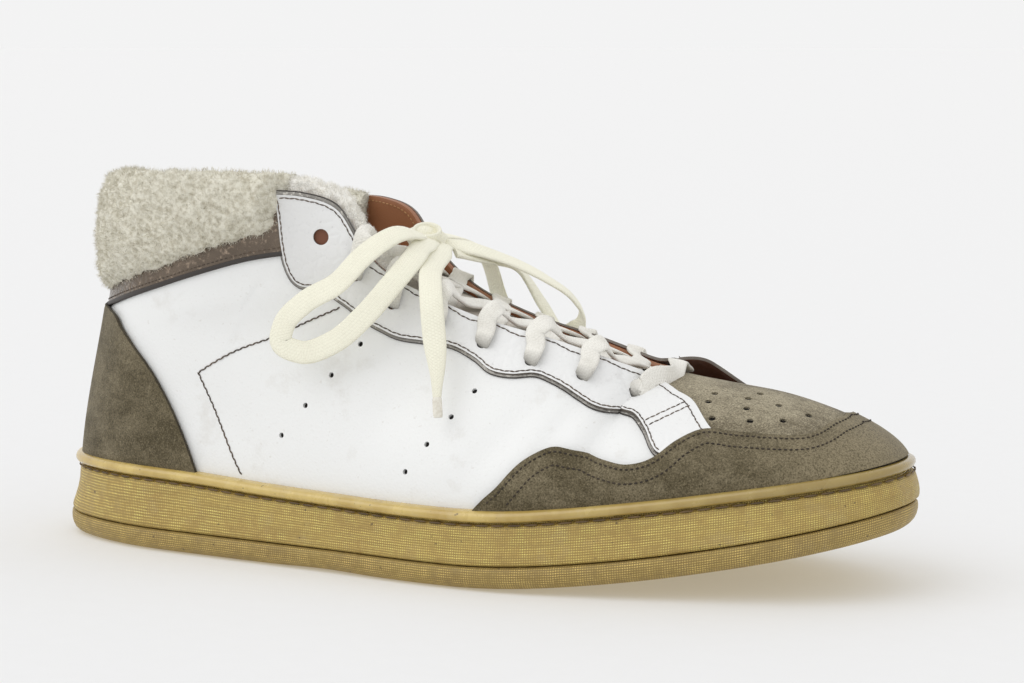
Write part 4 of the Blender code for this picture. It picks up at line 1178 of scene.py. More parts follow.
class Palette:
    """The shoe's finishes."""

    WHITE = Leather("white_leather", (0.83, 0.835, 0.825), (0.60, 0.57, 0.52), 0.42, depth=0.07, soil=0.5)
    # The tab's rear is darkened by painted shade.
    TAB = Leather("eyestay_leather", (0.81, 0.812, 0.806), (0.47, 0.46, 0.45), 0.38, crinkle=0.09,
                  painted_rear_shade=0.42)
    LINING = Leather("tan_lining", (0.305, 0.120, 0.048), (0.20, 0.075, 0.03), 0.5, 1500.0)
    RUST = Leather("rust_lining", (0.175, 0.060, 0.026), (0.09, 0.034, 0.016), 0.6, 1500.0)
    TONGUE = Leather("tongue_leather", (0.56, 0.52, 0.46), (0.34, 0.30, 0.25), 0.6, 1300.0, 0.09, soil=0.6)
    # Bronze and silver carry painted glints; on the bronze the near-black second colour at full soil reach is
    # painted dark reflection.
    BRONZE = Leather("bronze_leather", (0.165, 0.128, 0.096), (0.02, 0.016, 0.013), 0.2, 1400.0, 0.08,
                     crinkle=0.16, metallic=0.8, coat=0.2, soil=1.0)
    SILVER = Leather("silver_leather", (0.30, 0.285, 0.26), (0.03, 0.027, 0.024), 0.3, 1600.0, 0.10,
                     crinkle=0.14, metallic=0.6, soil=1.0)
    STAY_RIM = Leather("eyestay_rim", (0.15, 0.128, 0.108), (0.36, 0.33, 0.29), 0.75, 1900.0, 0.10, soil=0.8)
    EDGE = Leather("dark_edge", (0.035, 0.028, 0.024), (0.10, 0.08, 0.06), 0.55, 1800.0, 0.08)
    TOE = Suede("taupe_suede", (0.092, 0.074, 0.040), (0.220, 0.184, 0.116), 0.95, tip=0.6)
    CUT_SUEDE = Suede("cut_suede", (0.040, 0.031, 0.018), (0.085, 0.068, 0.042), 0.95)
    VAMP = Suede("vamp_suede", (0.180, 0.150, 0.096), (0.420, 0.368, 0.258), 0.95)
    WALL = Gum("gum_rubber", (0.54, 0.362, 0.092), (0.67, 0.486, 0.135), 0.5, pins=0.78, streaks=0.6,
               worn=(0.45, 0.37, 0.22), wear=0.25)
    TREAD = Gum("gum_tread", (0.42, 0.285, 0.08), (0.54, 0.39, 0.115), 0.55, pins=0.78, streaks=0.45,
                worn=(0.30, 0.24, 0.14))
    RIM = Gum("welt_rubber", (0.45, 0.305, 0.078), (0.63, 0.470, 0.150), 0.16, worn=(0.56, 0.48, 0.34),
              wear=0.42, toe_darkening=0.62, coat=0.5)
    WOOL = Wool("shearling_wool", (0.80, 0.772, 0.662), (0.55, 0.51, 0.40), 1.0)
    # Painted light: the tab fleece is a lighter copy of the wool with a faint glow, to lift pile that lies in
    # shade.
    FLEECE = Wool("tab_fleece", (0.97, 0.955, 0.91), (0.90, 0.875, 0.81), 1.0, glow=0.07)
    LACE = Cotton("lace_cotton", (0.93, 0.91, 0.76), (0.62, 0.58, 0.46), 0.9, soil=0.15)
    # Its darker ends at the holes are painted shade; its stains are dirt.
    WORN_LACE = Cotton("worn_lace_with_hole_shade", (0.88, 0.86, 0.80), (0.50, 0.475, 0.41), 0.95, soil=0.45, painted_hole_shade=0.85)
    THREAD = Finish("stitch_thread", (0.050, 0.036, 0.026), (0.11, 0.075, 0.05))
    CAP_THREAD = Finish("cap_thread", (0.022, 0.016, 0.011), (0.05, 0.037, 0.024), 0.85)
    BROWN_THREAD = Finish("brown_thread", (0.085, 0.055, 0.022), (0.16, 0.10, 0.04))
    TAN_THREAD = Finish("tan_thread", (0.50, 0.27, 0.11), (0.36, 0.18, 0.07))
    TIP = Clear("clear_tip", (0.80, 0.77, 0.68), (0.66, 0.62, 0.52), 0.2)
    DARK = Finish("hole_shadow", (0.012, 0.010, 0.009), (0.02, 0.017, 0.015), 0.95)


@dataclass
class Studio:
    """Camera, pale floor and soft light, in metres."""

    camera_at: Point = (0.3629, -0.8150, 0.1790)
    look_at: Point = (0.0, 0.0, 0.060)
    lens: float = 95.56
    shift: tuple[float, float] = (0.041, 0.034)
    floor_radius: float = 14.0
    # The floor's warm glow is painted light: it lifts the shoe's shadow on the floor and tints it warm in
    # place of light bounced off the gum sole; the bluish floor colour keeps the lit floor neutral.
    floor: Colour = (0.486, 0.527, 0.603)
    floor_glow: float = 0.338
    glow: Colour = (1.0, 0.88, 0.66)
    sky: float = 0.898
    sun: float = 0.75
    sun_angle: float = 55.0
    sun_at: Point = (-0.9, -1.0, 1.6)
    sun_aim: Point = (0.0, 0.0, 0.05)

    def build(self) -> None:
        """Set up everything round the shoe."""
        self.add_camera()
        self.add_floor()
        self.add_lights()

    @staticmethod
    def aim(obj: bpy.types.Object, target: Point) -> None:
        """Turn a camera or light to a point."""
        away = np.array(target) - np.array(obj.location)
        flat = math.hypot(away[0], away[1])
        right = math.pi / 2.0
        obj.rotation_euler = (right + math.atan2(away[2], flat), 0.0, math.atan2(away[1], away[0]) - right)

    def add_camera(self) -> None:
        """Stand the camera at the photograph's angle."""
        data = bpy.data.cameras.new("camera")
        data.lens = self.lens
        data.sensor_width = 36.0
        data.sensor_fit = "HORIZONTAL"
        data.shift_x, data.shift_y = self.shift
        camera = bpy.data.objects.new("camera", data)
        camera.location = self.camera_at
        self.aim(camera, self.look_at)
        bpy.context.scene.collection.objects.link(camera)
        bpy.context.scene.camera = camera

    def add_floor(self) -> None:
        """Lay a wide round floor that meets the sky in one tone."""
        bpy.ops.object.select_all(action="DESELECT")
        bpy.ops.mesh.primitive_circle_add(vertices=96, radius=self.floor_radius, fill_type="TRIFAN",
                                          location=(0.0, 0.0, -0.0002))
        floor = bpy.context.object
        floor.name = "floor"
        bpy.ops.object.transform_apply(location=True, rotation=False, scale=False)
        finish = Finish("floor", self.floor, toned(self.floor, 0.99), 0.9).material()
        tree = finish.node_tree
        # Painted light: the warm glow lifts and warms the shadow under the shoe.
        Nodes(tree).give(tree.nodes["Principled BSDF"], Emission_Color=(*self.glow, 1.0),
                         Emission_Strength=self.floor_glow)
        floor.data.materials.append(finish)

    def add_lights(self) -> None:
        """Let soft light in from a wide window and an even sky."""
        data = bpy.data.lights.new("window", "SUN")
        data.energy = self.sun
        data.angle = math.radians(self.sun_angle)
        lamp = bpy.data.objects.new("window", data)
        lamp.location = self.sun_at
        self.aim(lamp, self.sun_aim)
        bpy.context.scene.collection.objects.link(lamp)
        world = bpy.data.worlds.new("studio")
        world.use_nodes = True
        Nodes(world.node_tree).give(world.node_tree.nodes["Background"], Color=(1.0, 1.0, 1.0, 1.0),
                                    Strength=self.sky)
        bpy.context.scene.world = world
        bpy.context.scene.view_settings.view_transform = "Standard"


EYELETS: Rows = (
    (0.693, 0.685), (0.612, 0.795), (0.552, 0.802), (0.497, 0.845), (0.447, 0.875), (0.396, 0.880),
    (0.335, 0.880), (0.273, 0.870),
)


Place = tuple[np.ndarray, np.ndarray, float, float]


@dataclass
class Laces:
    """The flat lace: bottom bar, crossings, knot, loops and tipped ends."""

    width: float = 7.5
    thickness: float = 1.35
    stay_rise: float = 1.5
    pairs: int = 7
    front: float = 0.645
    bar: tuple[Rows, Rows] = (
        ((0.685, 0.75, 1.4), (0.677, 0.85, 2.4), (0.684, 0.96, 2.7)),
        ((0.700, 0.78, 0.5), (0.696, 0.86, 0.9), (0.692, 0.95, 1.7)),
    )
    hole_width: float = 0.66
    over_width: float = 0.86
    over_edge: tuple[float, float] = (4.6, 0.4)
    press: tuple[float, float] = (0.0, 1.2)
    edge_tilt: tuple[float, float] = (0.3, 1.0)
    step: float = 0.8
    leans: Rows = ((0.33, 0.0), (0.39, 0.75), (0.497, 0.75), (0.552, 1.25), (0.612, 2.35))
    across: Rows = ((0.26, 0.2), (0.45, 1.4), (0.60, 2.3), (0.78, 3.1), (0.93, 3.7))
    lifts: Rows = ((2.2, 1.2, 0.8, 0.3, -0.8), (2.2, 0.8, -0.6, -1.2, -2.3))
    knot: Rows = ((130.5, -6.5, 104.9), (134.0, -3.5, 106.9), (137.0, -0.5, 105.9), (139.0, 2.0, 103.9))
    loop_near: Rows = (
        (136.5, -7.3, 106.3), (135.3, -25.0, 108.5), (130.0, -40.0, 102.0), (123.0, -43.5, 93.8),
        (113.0, -47.0, 87.5), (106.0, -48.0, 80.0), (105.0, -48.0, 74.3), (111.0, -47.0, 71.5),
        (122.5, -46.0, 75.0), (133.0, -44.0, 84.0), (140.0, -38.0, 94.0), (142.0, -27.0, 101.0),
        (140.5, -17.0, 104.0), (139.6, -5.2, 104.4),
    )
    end_near: Rows = (
        (142.2, -1.5, 102.9), (144.5, -11.5, 101.0), (147.5, -25.0, 97.5), (153.5, -38.0, 89.0),
        (156.3, -42.0, 78.7), (158.7, -45.0, 68.0), (159.6, -47.0, 59.4), (160.4, -48.0, 53.3),
    )
    loop_far: Rows = (
        (139.6, 2.6, 103.5), (147.0, 6.5, 102.0), (152.0, 10.5, 100.0), (159.0, 16.0, 96.7),
        (169.0, 21.0, 91.0), (176.0, 25.5, 85.0), (178.5, 28.5, 79.3), (176.0, 31.0, 73.5),
        (168.5, 34.0, 73.0), (162.0, 34.0, 81.0), (157.0, 28.5, 91.5), (152.5, 14.5, 98.0),
        (144.0, 1.5, 100.8),
    )
    end_far: Rows = (
        (134.6, 3.6, 105.3), (136.5, 10.5, 105.2), (139.0, 18.5, 103.5), (143.5, 28.5, 96.5),
        (147.0, 31.0, 84.0), (149.5, 34.5, 74.0), (151.0, 37.0, 64.0), (152.0, 39.0, 56.0),
    )
    loop_near_looks: Rows = (
        (0.3, -0.6, 0.75), (0.25, -0.8, 0.5), (0.1, -1.0, 0.25), (0.2, -1.0, 0.0), (0.35, -0.9, 0.2),
        (0.4, -0.8, 0.4), (0.4, -0.6, 0.6),
    )
    loop_far_looks: Rows = (
        (0.3, -0.5, 0.8), (0.35, -0.2, 0.9), (0.5, 0.05, 0.85), (0.8, 0.25, 0.5), (0.4, -0.2, 0.9),
        (0.2, -0.5, 0.8), (0.3, -0.6, 0.75),
    )
    end_near_looks: Rows = ((0.5, -0.4, 0.75), (0.5, -0.8, 0.4), (0.45, -0.9, 0.1))
    end_far_looks: Rows = ((0.3, 0.3, 0.9), (0.3, 0.8, 0.5), (0.3, 0.95, 0.1))
    knot_look: Point = (0.4, -0.7, 0.6)
    knot_middle: Point = (135.2, -3.2, 105.4)
    knot_axis: Point = (0.35, -0.35, 0.87)
    knot_radii: tuple[float, float] = (4.4, 3.6)
    tip_length: float = 7.0
    tip_size: tuple[float, float] = (3.1, 2.6)
    end_size: tuple[float, float] = (2.6, 2.1)
    pinch: tuple[float, float] = (0.62, 9.0)
    smooth_angle: float = 60.0

    def build(self) -> None:
        """Lace the shoe and tie the bow."""
        self.add_bow()
        self.add_bar()
        for index in range(1, self.pairs):
            self.add_crossing(index)

    def band(self, name: str, places: Sequence[Place]) -> bpy.types.Object:
        """Draw a band through places.

        Args:
            name: Name of the band.
            places: Point, facing direction, share of the width and share of the thickness at each place.

        Returns:
            The band.
        """
        route = np.array([np.concatenate([point, facing, shares]) for point, facing, *shares in places])
        run = run_lengths(route[:, :3])
        at = np.linspace(0.0, run[-1], max(8, int(run[-1] / self.step)))
        curve = np.stack([smooth(run, column, at) for column in route[:, :3].T], -1)
        rest = between(at, run, route[:, 3:])
        sizes = rest[:, 3] * self.width, rest[:, 4] * self.thickness
        return Workshop.ribbon(name, curve, unit(rest[:, :3]), *sizes)

    def over_stay(self, side: Side, along: float, height: float,
                  lift: float) -> tuple[np.ndarray, np.ndarray]:
        """Place on an eyestay, and the direction that its face looks."""
        rise = self.stay_rise + lift + self.thickness / 2.0
        return over_last(side, station(along), np.float64(min(height, 1.0)), rise)

    @staticmethod
    def at_hole(side: Side, hole: tuple[float, ...]) -> tuple[np.ndarray, np.ndarray, np.ndarray]:
        """Middle of a hole, the outward direction there, and the one up the eyestay."""
        t, v = station(hole[0]), np.float64(hole[1])
        start, normal = over_last(side, t, v, 0.0)
        return start, normal, unit(FORM.base(side, t, v + 0.03) - FORM.base(side, t, v))

    def strand(self, name: str, side: Side, hole: tuple[float, ...],
               lower: tuple[float, ...]) -> bpy.types.Object:
        """Run one strand from a hole over its edge and the tongue to under the opposite edge.

        Args:
            name: Name of the strand.
            side: Side of its hole.
            hole: Share of the length and height of the hole.
            lower: The same for the pair below.

        Returns:
            The strand.
        """
        start, normal, toward = self.at_hole(side, hole)
        step = (min(lower[0], self.front) - hole[0]) / 4.0
        narrow = self.hole_width
        places = [(start - 4.0 * normal, -toward, narrow, 1.3),
                  (start + 1.0 * normal - 0.4 * toward, -toward, narrow, 1.4),
                  (start + 3.0 * normal + 0.7 * toward, unit(normal - 0.6 * toward), narrow + 0.08, 1.4)]
        middle = (hole[1] + 1.0) / 2.0
        lean = float(np.interp(hole[0], *np.transpose(self.leans)))
        press = self.press[side.number]
        for share, height, lift, wide in ((-0.4 * lean, middle, 0.9, 0.80), (-lean, 1.0, 1.1, 0.84)):
            places.append((*self.over_stay(side, hole[0] + step * share, height, lift - press), wide, 1.1))
        edge_t, edge_v = station(hole[0] - step * lean), np.float64(1.0)
        outward = FORM.normal(side, edge_t, edge_v)
        end = FORM.base(side, edge_t, edge_v) + 0.7 * outward
        rise = unit(end - FORM.base(side, edge_t, np.float64(0.98)))
        facing = unit(self.edge_tilt[side.number] * rise + outward)
        places.append((end + rise * self.over_edge[side.number], facing, self.over_width, 1.0))
        for (share, quarters), lift in zip(self.across, self.lifts[side.number]):
            share = share if side is Side.LATERAL else 1.0 - share
            at = station(hole[0] + step * quarters)
            point = FORM.tongue(at, np.float64(share), lift)
            up = unit(point - FORM.tongue(at, np.float64(share), 0.0))
            places.append((point, up, self.over_width, 1.0))
        return self.band(name, places)

    def add_crossing(self, index: int) -> None:
        """Lay the two strands of one pair of holes."""
        name = "lace_crossing_%d" % index
        strands = [self.strand(name + side.name, side, EYELETS[index], EYELETS[index - 1]) for side in BOTH]
        piece = Workshop.join(name, strands)
        self.finish(piece, Palette.WORN_LACE, "lace_cross_%d" % index)

    def finish(self, piece: bpy.types.Object, finish: Finish, node: str) -> bpy.types.Object:
        """Dress a part of the lace that stands for a CAD node."""
        return Workshop.done(piece, [finish], "lace_cotton", [node], self.smooth_angle)

    def add_bar(self) -> None:
        """Lay the straight bar through the lowest holes."""
        places = []
        for side in BOTH:
            start, normal, toward = self.at_hole(side, EYELETS[0])
            half = [(start - 4.0 * normal, -toward, self.hole_width, 1.3),
                    (start + 1.2 * normal, -toward, self.hole_width, 1.4),
                    (start + 3.4 * normal + 1.0 * toward, unit(normal - 0.5 * toward), 0.7, 1.3)]
            for along, height, lift in self.bar[side.number]:
                half.append((*self.over_stay(side, along, height, lift), self.over_width, 1.0))
            places.append(half)
        piece = self.band("lace_straight_bar", [*places[0], *places[1][::-1]])
        self.finish(piece, Palette.WORN_LACE, "lace_bar")

    def cord(self, node: str, route: Rows, looks: Rows, tip: bool,
             extra: Sequence[bpy.types.Object] = ()) -> None:
        """Args:
            node: CAD node that it stands for.
            route: Middle line, as in the CAD model.
            looks: Directions that the flat face looks, spread evenly along it.
            tip: Whether it ends in a clear tip.
            extra: Pieces that go with it; not used.
        """
        name = node + "_band"
        curve = even_curve(route, self.step)
        run = run_lengths(curve)
        left = run[-1] - run
        facing = unit(between(run / run[-1], np.linspace(0, 1, len(looks)), np.array(looks)))
        width, thick = self.width, self.thickness
        least, reach = self.pinch
        pinch = least + (1.0 - least) * ease(run / reach)
        if tip:
            narrow = ease((left - 4.0) / 22.0)
            width, thick = (end + (full - end) * narrow for end, full in zip(self.end_size, (width, thick)))
        else:
            pinch = pinch * (least + (1.0 - least) * ease(left / reach))
        piece = Workshop.ribbon(name, curve, facing, width * pinch, thick / np.sqrt(pinch))
        self.finish(piece, Palette.LACE, node)
        if tip:
            end = left <= self.tip_length
            extra = [self.add_tip(name + "_tip", curve[end], facing[end])]
        path = [tuple(point) for point in FORM.place(even_curve(route, 4.0))]

    def add_tip(self, name: str, curve: np.ndarray, facing: np.ndarray) -> bpy.types.Object:
        """Wrap a clear film round a lace's end."""
        fullness = 1.0 - 0.12 * (np.linspace(-1.0, 1.0, len(curve)) ** 6)
        piece = Workshop.ribbon(name, curve, facing, *(size * fullness for size in self.tip_size))
        return Workshop.done(piece, [Palette.TIP], "clear_tip", [], self.smooth_angle)

    def add_bow(self) -> None:
        """Tie the knot, the loops and the ends."""
        core = self.band("knot_core", [(point, self.knot_look, 0.8, 3.0) for point in self.knot])
        axis = unit(np.array(self.knot_axis))
        first = unit(np.cross(axis, (0.0, 0.0, 1.0)))
        second = np.cross(axis, first)
        turns = np.linspace(0.0, 2.0 * math.pi, 40)[:, None]
        wide, high = self.knot_radii
        ring = first * np.cos(turns) * wide + second * np.sin(turns) * high
        route = np.array(self.knot_middle) + ring + axis * np.sin(turns * 0.5) * 1.2
        wrap = Workshop.ribbon("knot_wrap", route, unit(ring), 6.4, 1.7)
        knot = self.finish(Workshop.join("lace_bow_knot", [core, wrap]), Palette.LACE, "lace_knot")
        self.cord("lace_loop_near", self.loop_near, self.loop_near_looks, False, [knot])
        self.cord("lace_end_near", self.end_near, self.end_near_looks, True)
        self.cord("lace_loop_far", self.loop_far, self.loop_far_looks, False)
        self.cord("lace_end_far", self.end_far, self.end_far_looks, True)


@dataclass
class Sole:
    """Outsole, textured cup wall, rounded welt and the stitches in its groove."""

    columns: int = 170
    parting: float = 7.4
    gap: float = 0.28
    groove_depth: float = 4.9
    heel_waist: float = 3.0
    heel_share: float = 0.2
    toe_bulge: float = 1.8
    toe_start: float = 0.72
    tread_rows: Rows = (
        (5.0, 0.0), (3.4, 0.25), (2.2, 0.8), (1.2, 1.7), (0.6, 2.8), (0.25, 4.2), (0.2, 5.4), (0.35, 6.5),
        (0.9, 7.2), (1.8, 7.4),
    )
    wall_rows: Rows = (
        (1.8, 0.0), (0.8, 0.02), (0.3, 0.07), (0.3, 0.14), (0.55, 0.3), (0.95, 0.5), (1.3, 0.7), (1.5, 0.88),
        (1.7, 0.97), (2.3, 1.0), (3.9, 1.03),
    )
    welt_rows: Rows = (
        (4.1, 4.2), (2.7, 4.0), (1.4, 3.6), (0.75, 3.1), (0.4, 2.4), (0.45, 1.7), (0.8, 1.0), (1.5, 0.5),
        (2.3, 0.2), (3.2, 0.05), (4.3, 0.0), (5.9, 0.1), (5.9, 4.5),
    )
    lip_rows: Rows = ((3.9, 2.4), (4.4, 2.4))
    cup_floor: float = 12.0
    layer_shares: tuple[float, ...] = (0.12, 0.25, 0.4, 0.55, 0.7, 0.85, 1.0)
    chevrons: tuple[float, float, float] = (28.0, 270.0, 17.0)
    chevron_size: tuple[float, float] = (3.2, 1.8)
    chevron_margin: float = 12.0
    chevron_sweep: float = 0.25
    chevron_taper: float = 0.5
    stitch: Seam = Seam(5.4, 0.84, 0.7, 0.75)
    stitch_inset: float = 1.55
    stitch_lift: float = 0.25

    def build(self) -> None:
        """Build the sole from the ground up."""
        self.add_outsole()
        self.add_wall()
        self.add_welt()
        self.add_stitches()
        bpy.data.objects["insole"].data.materials[0] = Palette.LINING.material()

    def ring(self, inset: float, height: Callable[[np.ndarray], np.ndarray], waist: float = 0.0,
             bulge: float = 0.0) -> np.ndarray:
        """Place points round the sole's edge.

        Args:
            inset: Distance inside the edge.
            height: Height of the ring as a function of x.
            waist: Share of the heel's waist by which the ring steps in there.
            bulge: Share of the toe's bulge by which the ring steps out there.

        Returns:
            Points from the heel along the lateral side and back.
        """
        t = np.linspace(0.0, 1.0, self.columns)
        inward = inset + waist * self.heel_waist * (1.0 - ease(t / self.heel_share))
        inward = inward - bulge * self.toe_bulge * ease((t - self.toe_start) / (1.0 - self.toe_start))
        plan = np.concatenate([FORM.outline(Side.LATERAL, t, inward)[0],
                               FORM.outline(Side.MEDIAL, t[::-1], inward[::-1])[0]])
        return np.concatenate([plan, height(plan[:, 0])[:, None]], -1)

    def layer(self, name: str, rings: Sequence[np.ndarray], caps: Sequence[int] = ()) -> bpy.types.Object:
        """Skin rings of the sole.

        Args:
            name: Name of the layer.
            rings: Rings from the layer's underside round.
            caps: Ends that are closed: 0 for the first ring, -1 for the last.

        Returns:
            The layer, mapped in millimetres round and up.
        """
        rows = list(rings)
        for end in caps:
            ring = rows[end]
            middle = (ring + ring[::-1]) / 2.0
            inner = [ring + share * (middle - ring) for share in self.layer_shares]
            rows = inner[::-1] + rows if end == 0 else rows + inner
        grid = np.array(rows)
        round_run = run_lengths(grid[len(grid) // 2])
        climb = run_lengths(grid[:, self.columns // 2])
        uv = np.stack(np.broadcast_arrays(round_run[None, :], climb[:, None]), -1)
        obj = Workshop.sheet(name, grid, uv)
        Workshop.weld(obj, 0.01)
        return obj

    def add_outsole(self) -> None:
        """Mould the tread plate and cut its chevron grooves."""
        rings = [self.ring(inset, partial(self.tread_height, over=height), bulge=0.5)
                 for inset, height in self.tread_rows]
        outsole = self.layer("outsole_tread", rings, (0, -1))
        Workshop.cut(outsole, self.groove_cutter())
        Workshop.done(outsole, [Palette.TREAD], "gum_rubber", ["outsole"], 40.0)

    def tread_height(self, x: np.ndarray, over: float) -> np.ndarray:
        """Height of the tread plate's side at a distance over the underside."""
        return FORM.ground(x) + over + FORM.hollow(x) * (1.0 - over / self.parting)

    def wall_height(self, x: np.ndarray, share: float) -> np.ndarray:
        """Height of the wall at a share of the way from the parting line to the groove."""
        rise = FORM.rim(x) - self.groove_depth - FORM.ground(x) - self.parting - self.gap
        return FORM.ground(x) + self.parting + self.gap + share * rise

    def groove_cutter(self) -> bpy.types.Object:
        """Model one groove's section along each chevron."""
        width, depth = self.chevron_size
        bars = []
        for x in np.arange(*self.chevrons):
            t = np.array([station(x / FORM.length)])
            half = [abs(FORM.outline(side, t)[0][0, 1]) - self.chevron_margin for side in BOTH]
            y = np.concatenate([np.linspace(-half[0], 0.0, 7), np.linspace(0.0, half[1], 7)[1:]])
            middle = x - self.chevron_sweep * np.abs(y)
            low = FORM.ground(middle) + FORM.hollow(middle)
            low_side, high_side = width / 2, width / 2 - self.chevron_taper
            section = ((-low_side, -depth), (low_side, -depth), (high_side, depth), (-high_side, depth),
                       (-low_side, -depth))
            grid = [[(m + dx, yy, z + dz) for dx, dz in section] for m, yy, z in zip(middle, y, low)]
            bar = Workshop.sheet("groove", np.array(grid))
            Workshop.weld(bar, 0.01, close=True)
            bars.append(bar)
        return Workshop.join("groove_cutter", bars)

    def add_wall(self) -> None:
        """Mould the cup's textured wall."""
        rings = []
        for inset, share in self.wall_rows:
            rings.append(self.ring(inset, partial(self.wall_height, share=share),
                                   math.sin(math.pi * min(share * 0.62, 0.5)),
                                   0.6 + 0.4 * math.sin(math.pi * min(share, 1.0))))
        for inset, depth in self.lip_rows:
            rings.append(self.ring(inset, partial(self.under_rim, depth=depth), 1.0))
        rings.append(self.ring(self.lip_rows[-1][0], lambda x: FORM.ground(x) + self.cup_floor, 1.0))
        wall = self.layer("midsole_wall", rings, (0, -1))
        Workshop.done(wall, [Palette.WALL], "gum_rubber", ["midsole"], 50.0)

    @staticmethod
    def under_rim(x: np.ndarray, depth: float) -> np.ndarray:
        """Height at a depth under the rim."""
        return FORM.rim(x) - depth

    def add_welt(self) -> None:
        """Mould the rounded rim strip."""
        rings = [self.ring(inset, partial(self.under_rim, depth=depth), 0.8)
                 for inset, depth in self.welt_rows]
        rings.append(rings[0])
        welt = self.layer("welt_strip", rings)
        Workshop.done(welt, [Palette.RIM], "welt_rubber", ["welt"], 60.0)

    def add_stitches(self) -> None:
        """Sew the long stitches in the groove under the welt."""
        height = partial(self.under_rim, depth=self.groove_depth - self.stitch_lift)
        line, outer = (self.ring(inset, height, 0.95, 0.6)
                       for inset in (self.stitch_inset, self.stitch_inset - 1.0))
        piece = self.stitch.sew("welt_stitches", [(line, unit(outer - line))])
        Workshop.done(piece, [Palette.BROWN_THREAD], "stitch_thread")


TOE_WAVE: Rows = (
    (0.578, 0.00), (0.590, 0.06), (0.603, 0.125), (0.620, 0.26), (0.641, 0.343), (0.674, 0.333),
    (0.711, 0.270), (0.740, 0.243), (0.765, 0.287), (0.782, 0.377), (0.802, 0.447), (0.855, 0.440),
    (0.890, 0.420), (0.924, 0.413), (0.973, 0.565), (1.000, 0.700),
)
STAY_BORDER: Rows = (
    (0.216, 1.00), (0.226, 0.86), (0.236, 0.78), (0.250, 0.72), (0.267, 0.69), (0.285, 0.70),
    (0.320, 0.748), (0.337, 0.760), (0.395, 0.752), (0.420, 0.744), (0.445, 0.768), (0.473, 0.790),
    (0.500, 0.755), (0.524, 0.702), (0.546, 0.702), (0.567, 0.738), (0.588, 0.726), (0.635, 0.655),
    (0.660, 0.620), (0.697, 0.577), (0.715, 0.560), (0.742, 0.465), (0.768, 0.315), (0.795, 0.335),
    (0.833, 0.385),
)
STAY_EDGE: Rows = (
    (0.216, 1.0), (0.655, 1.0), (0.688, 0.88), (0.745, 0.77), (0.788, 0.675), (0.823, 0.460), (0.833, 0.400),
)
COUNTER_EDGE: Rows = (
    (0.224, -0.01), (0.210, 0.087), (0.179, 0.223), (0.144, 0.343), (0.107, 0.457), (0.077, 0.550),
    (0.050, 0.622), (0.028, 0.652), (0.008, 0.668),
)


def even_stations(rows: Rows, start: float, end: float, count: int) -> np.ndarray:
    """Stations spread evenly along a waved border, so that its steep parts get enough columns.

    Args:
        rows: The border's table.
        start: Share of the length at which it begins.
        end: Share of the length at which it ends.
        count: Number of stations.

    Returns:
        Stations from start to end.
    """
    fine = np.linspace(station(start), station(end), 3000)
    run = run_lengths(FORM.base(Side.LATERAL, fine, np.clip(border(rows, fine), 0.0, 1.0)))
    return np.interp(np.linspace(0.0, run[-1], count), run, fine)


def both_sides(name: str, t: np.ndarray, low: np.ndarray, high: np.ndarray, rows: int,
               rise: float) -> bpy.types.Object:
    """Lay one panel over both sides, joined where they meet at the middle.

    Args:
        name: Name of the panel.
        t: Stations of its columns.
        low: Lower border at the stations.
        high: Upper border at the stations.
        rows: Number of rows between the borders.
        rise: Distance outside the last.

    Returns:
        The open panel.
    """
    heights = low + np.linspace(0.0, 1.0, rows)[:, None] * (high - low)
    at = np.broadcast_to(t, heights.shape)
    return Workshop.pair(name, [FORM.surface(side, at, heights, rise) for side in BOTH])


def stud(side: Side, t: np.ndarray, v: np.ndarray, radius: float, depth: float) -> np.ndarray:
    """Axes of a round stud that stands on the last: two radii and half its height."""
    normal = FORM.normal(side, t, v)
    across = unit(np.cross(normal, (0.0, 0.0, 1.0)))
    return np.stack([across * radius, np.cross(normal, across) * radius, normal * depth])


def studs(name: str, middles: Sequence[np.ndarray], axes: Sequence[np.ndarray],
          corners: int) -> bpy.types.Object:
    """Set round studs as one mesh."""
    bpy.ops.object.select_all(action="DESELECT")
    bpy.ops.mesh.primitive_cylinder_add(vertices=corners, radius=1.0, depth=2.0)
    return Workshop.copies(name, bpy.context.object, middles, axes)


def punch(places: Sequence[tuple[Side, float, float, float]], depth: float = 7.0) -> bpy.types.Object:
    """Make a cutting form of round punches that stand on the last.

    Args:
        places: Side, share of the length, rib height and radius of each hole.
        depth: Reach of the punches to either side of the last.

    Returns:
        The joined punches.
    """
    spots = [(side, station(along), np.float64(height)) for side, along, height, _ in places]
    axes = [stud(*spot, place[-1], depth) for spot, place in zip(spots, places)]
    return studs("punch", [FORM.base(*spot) for spot in spots], axes, 18)


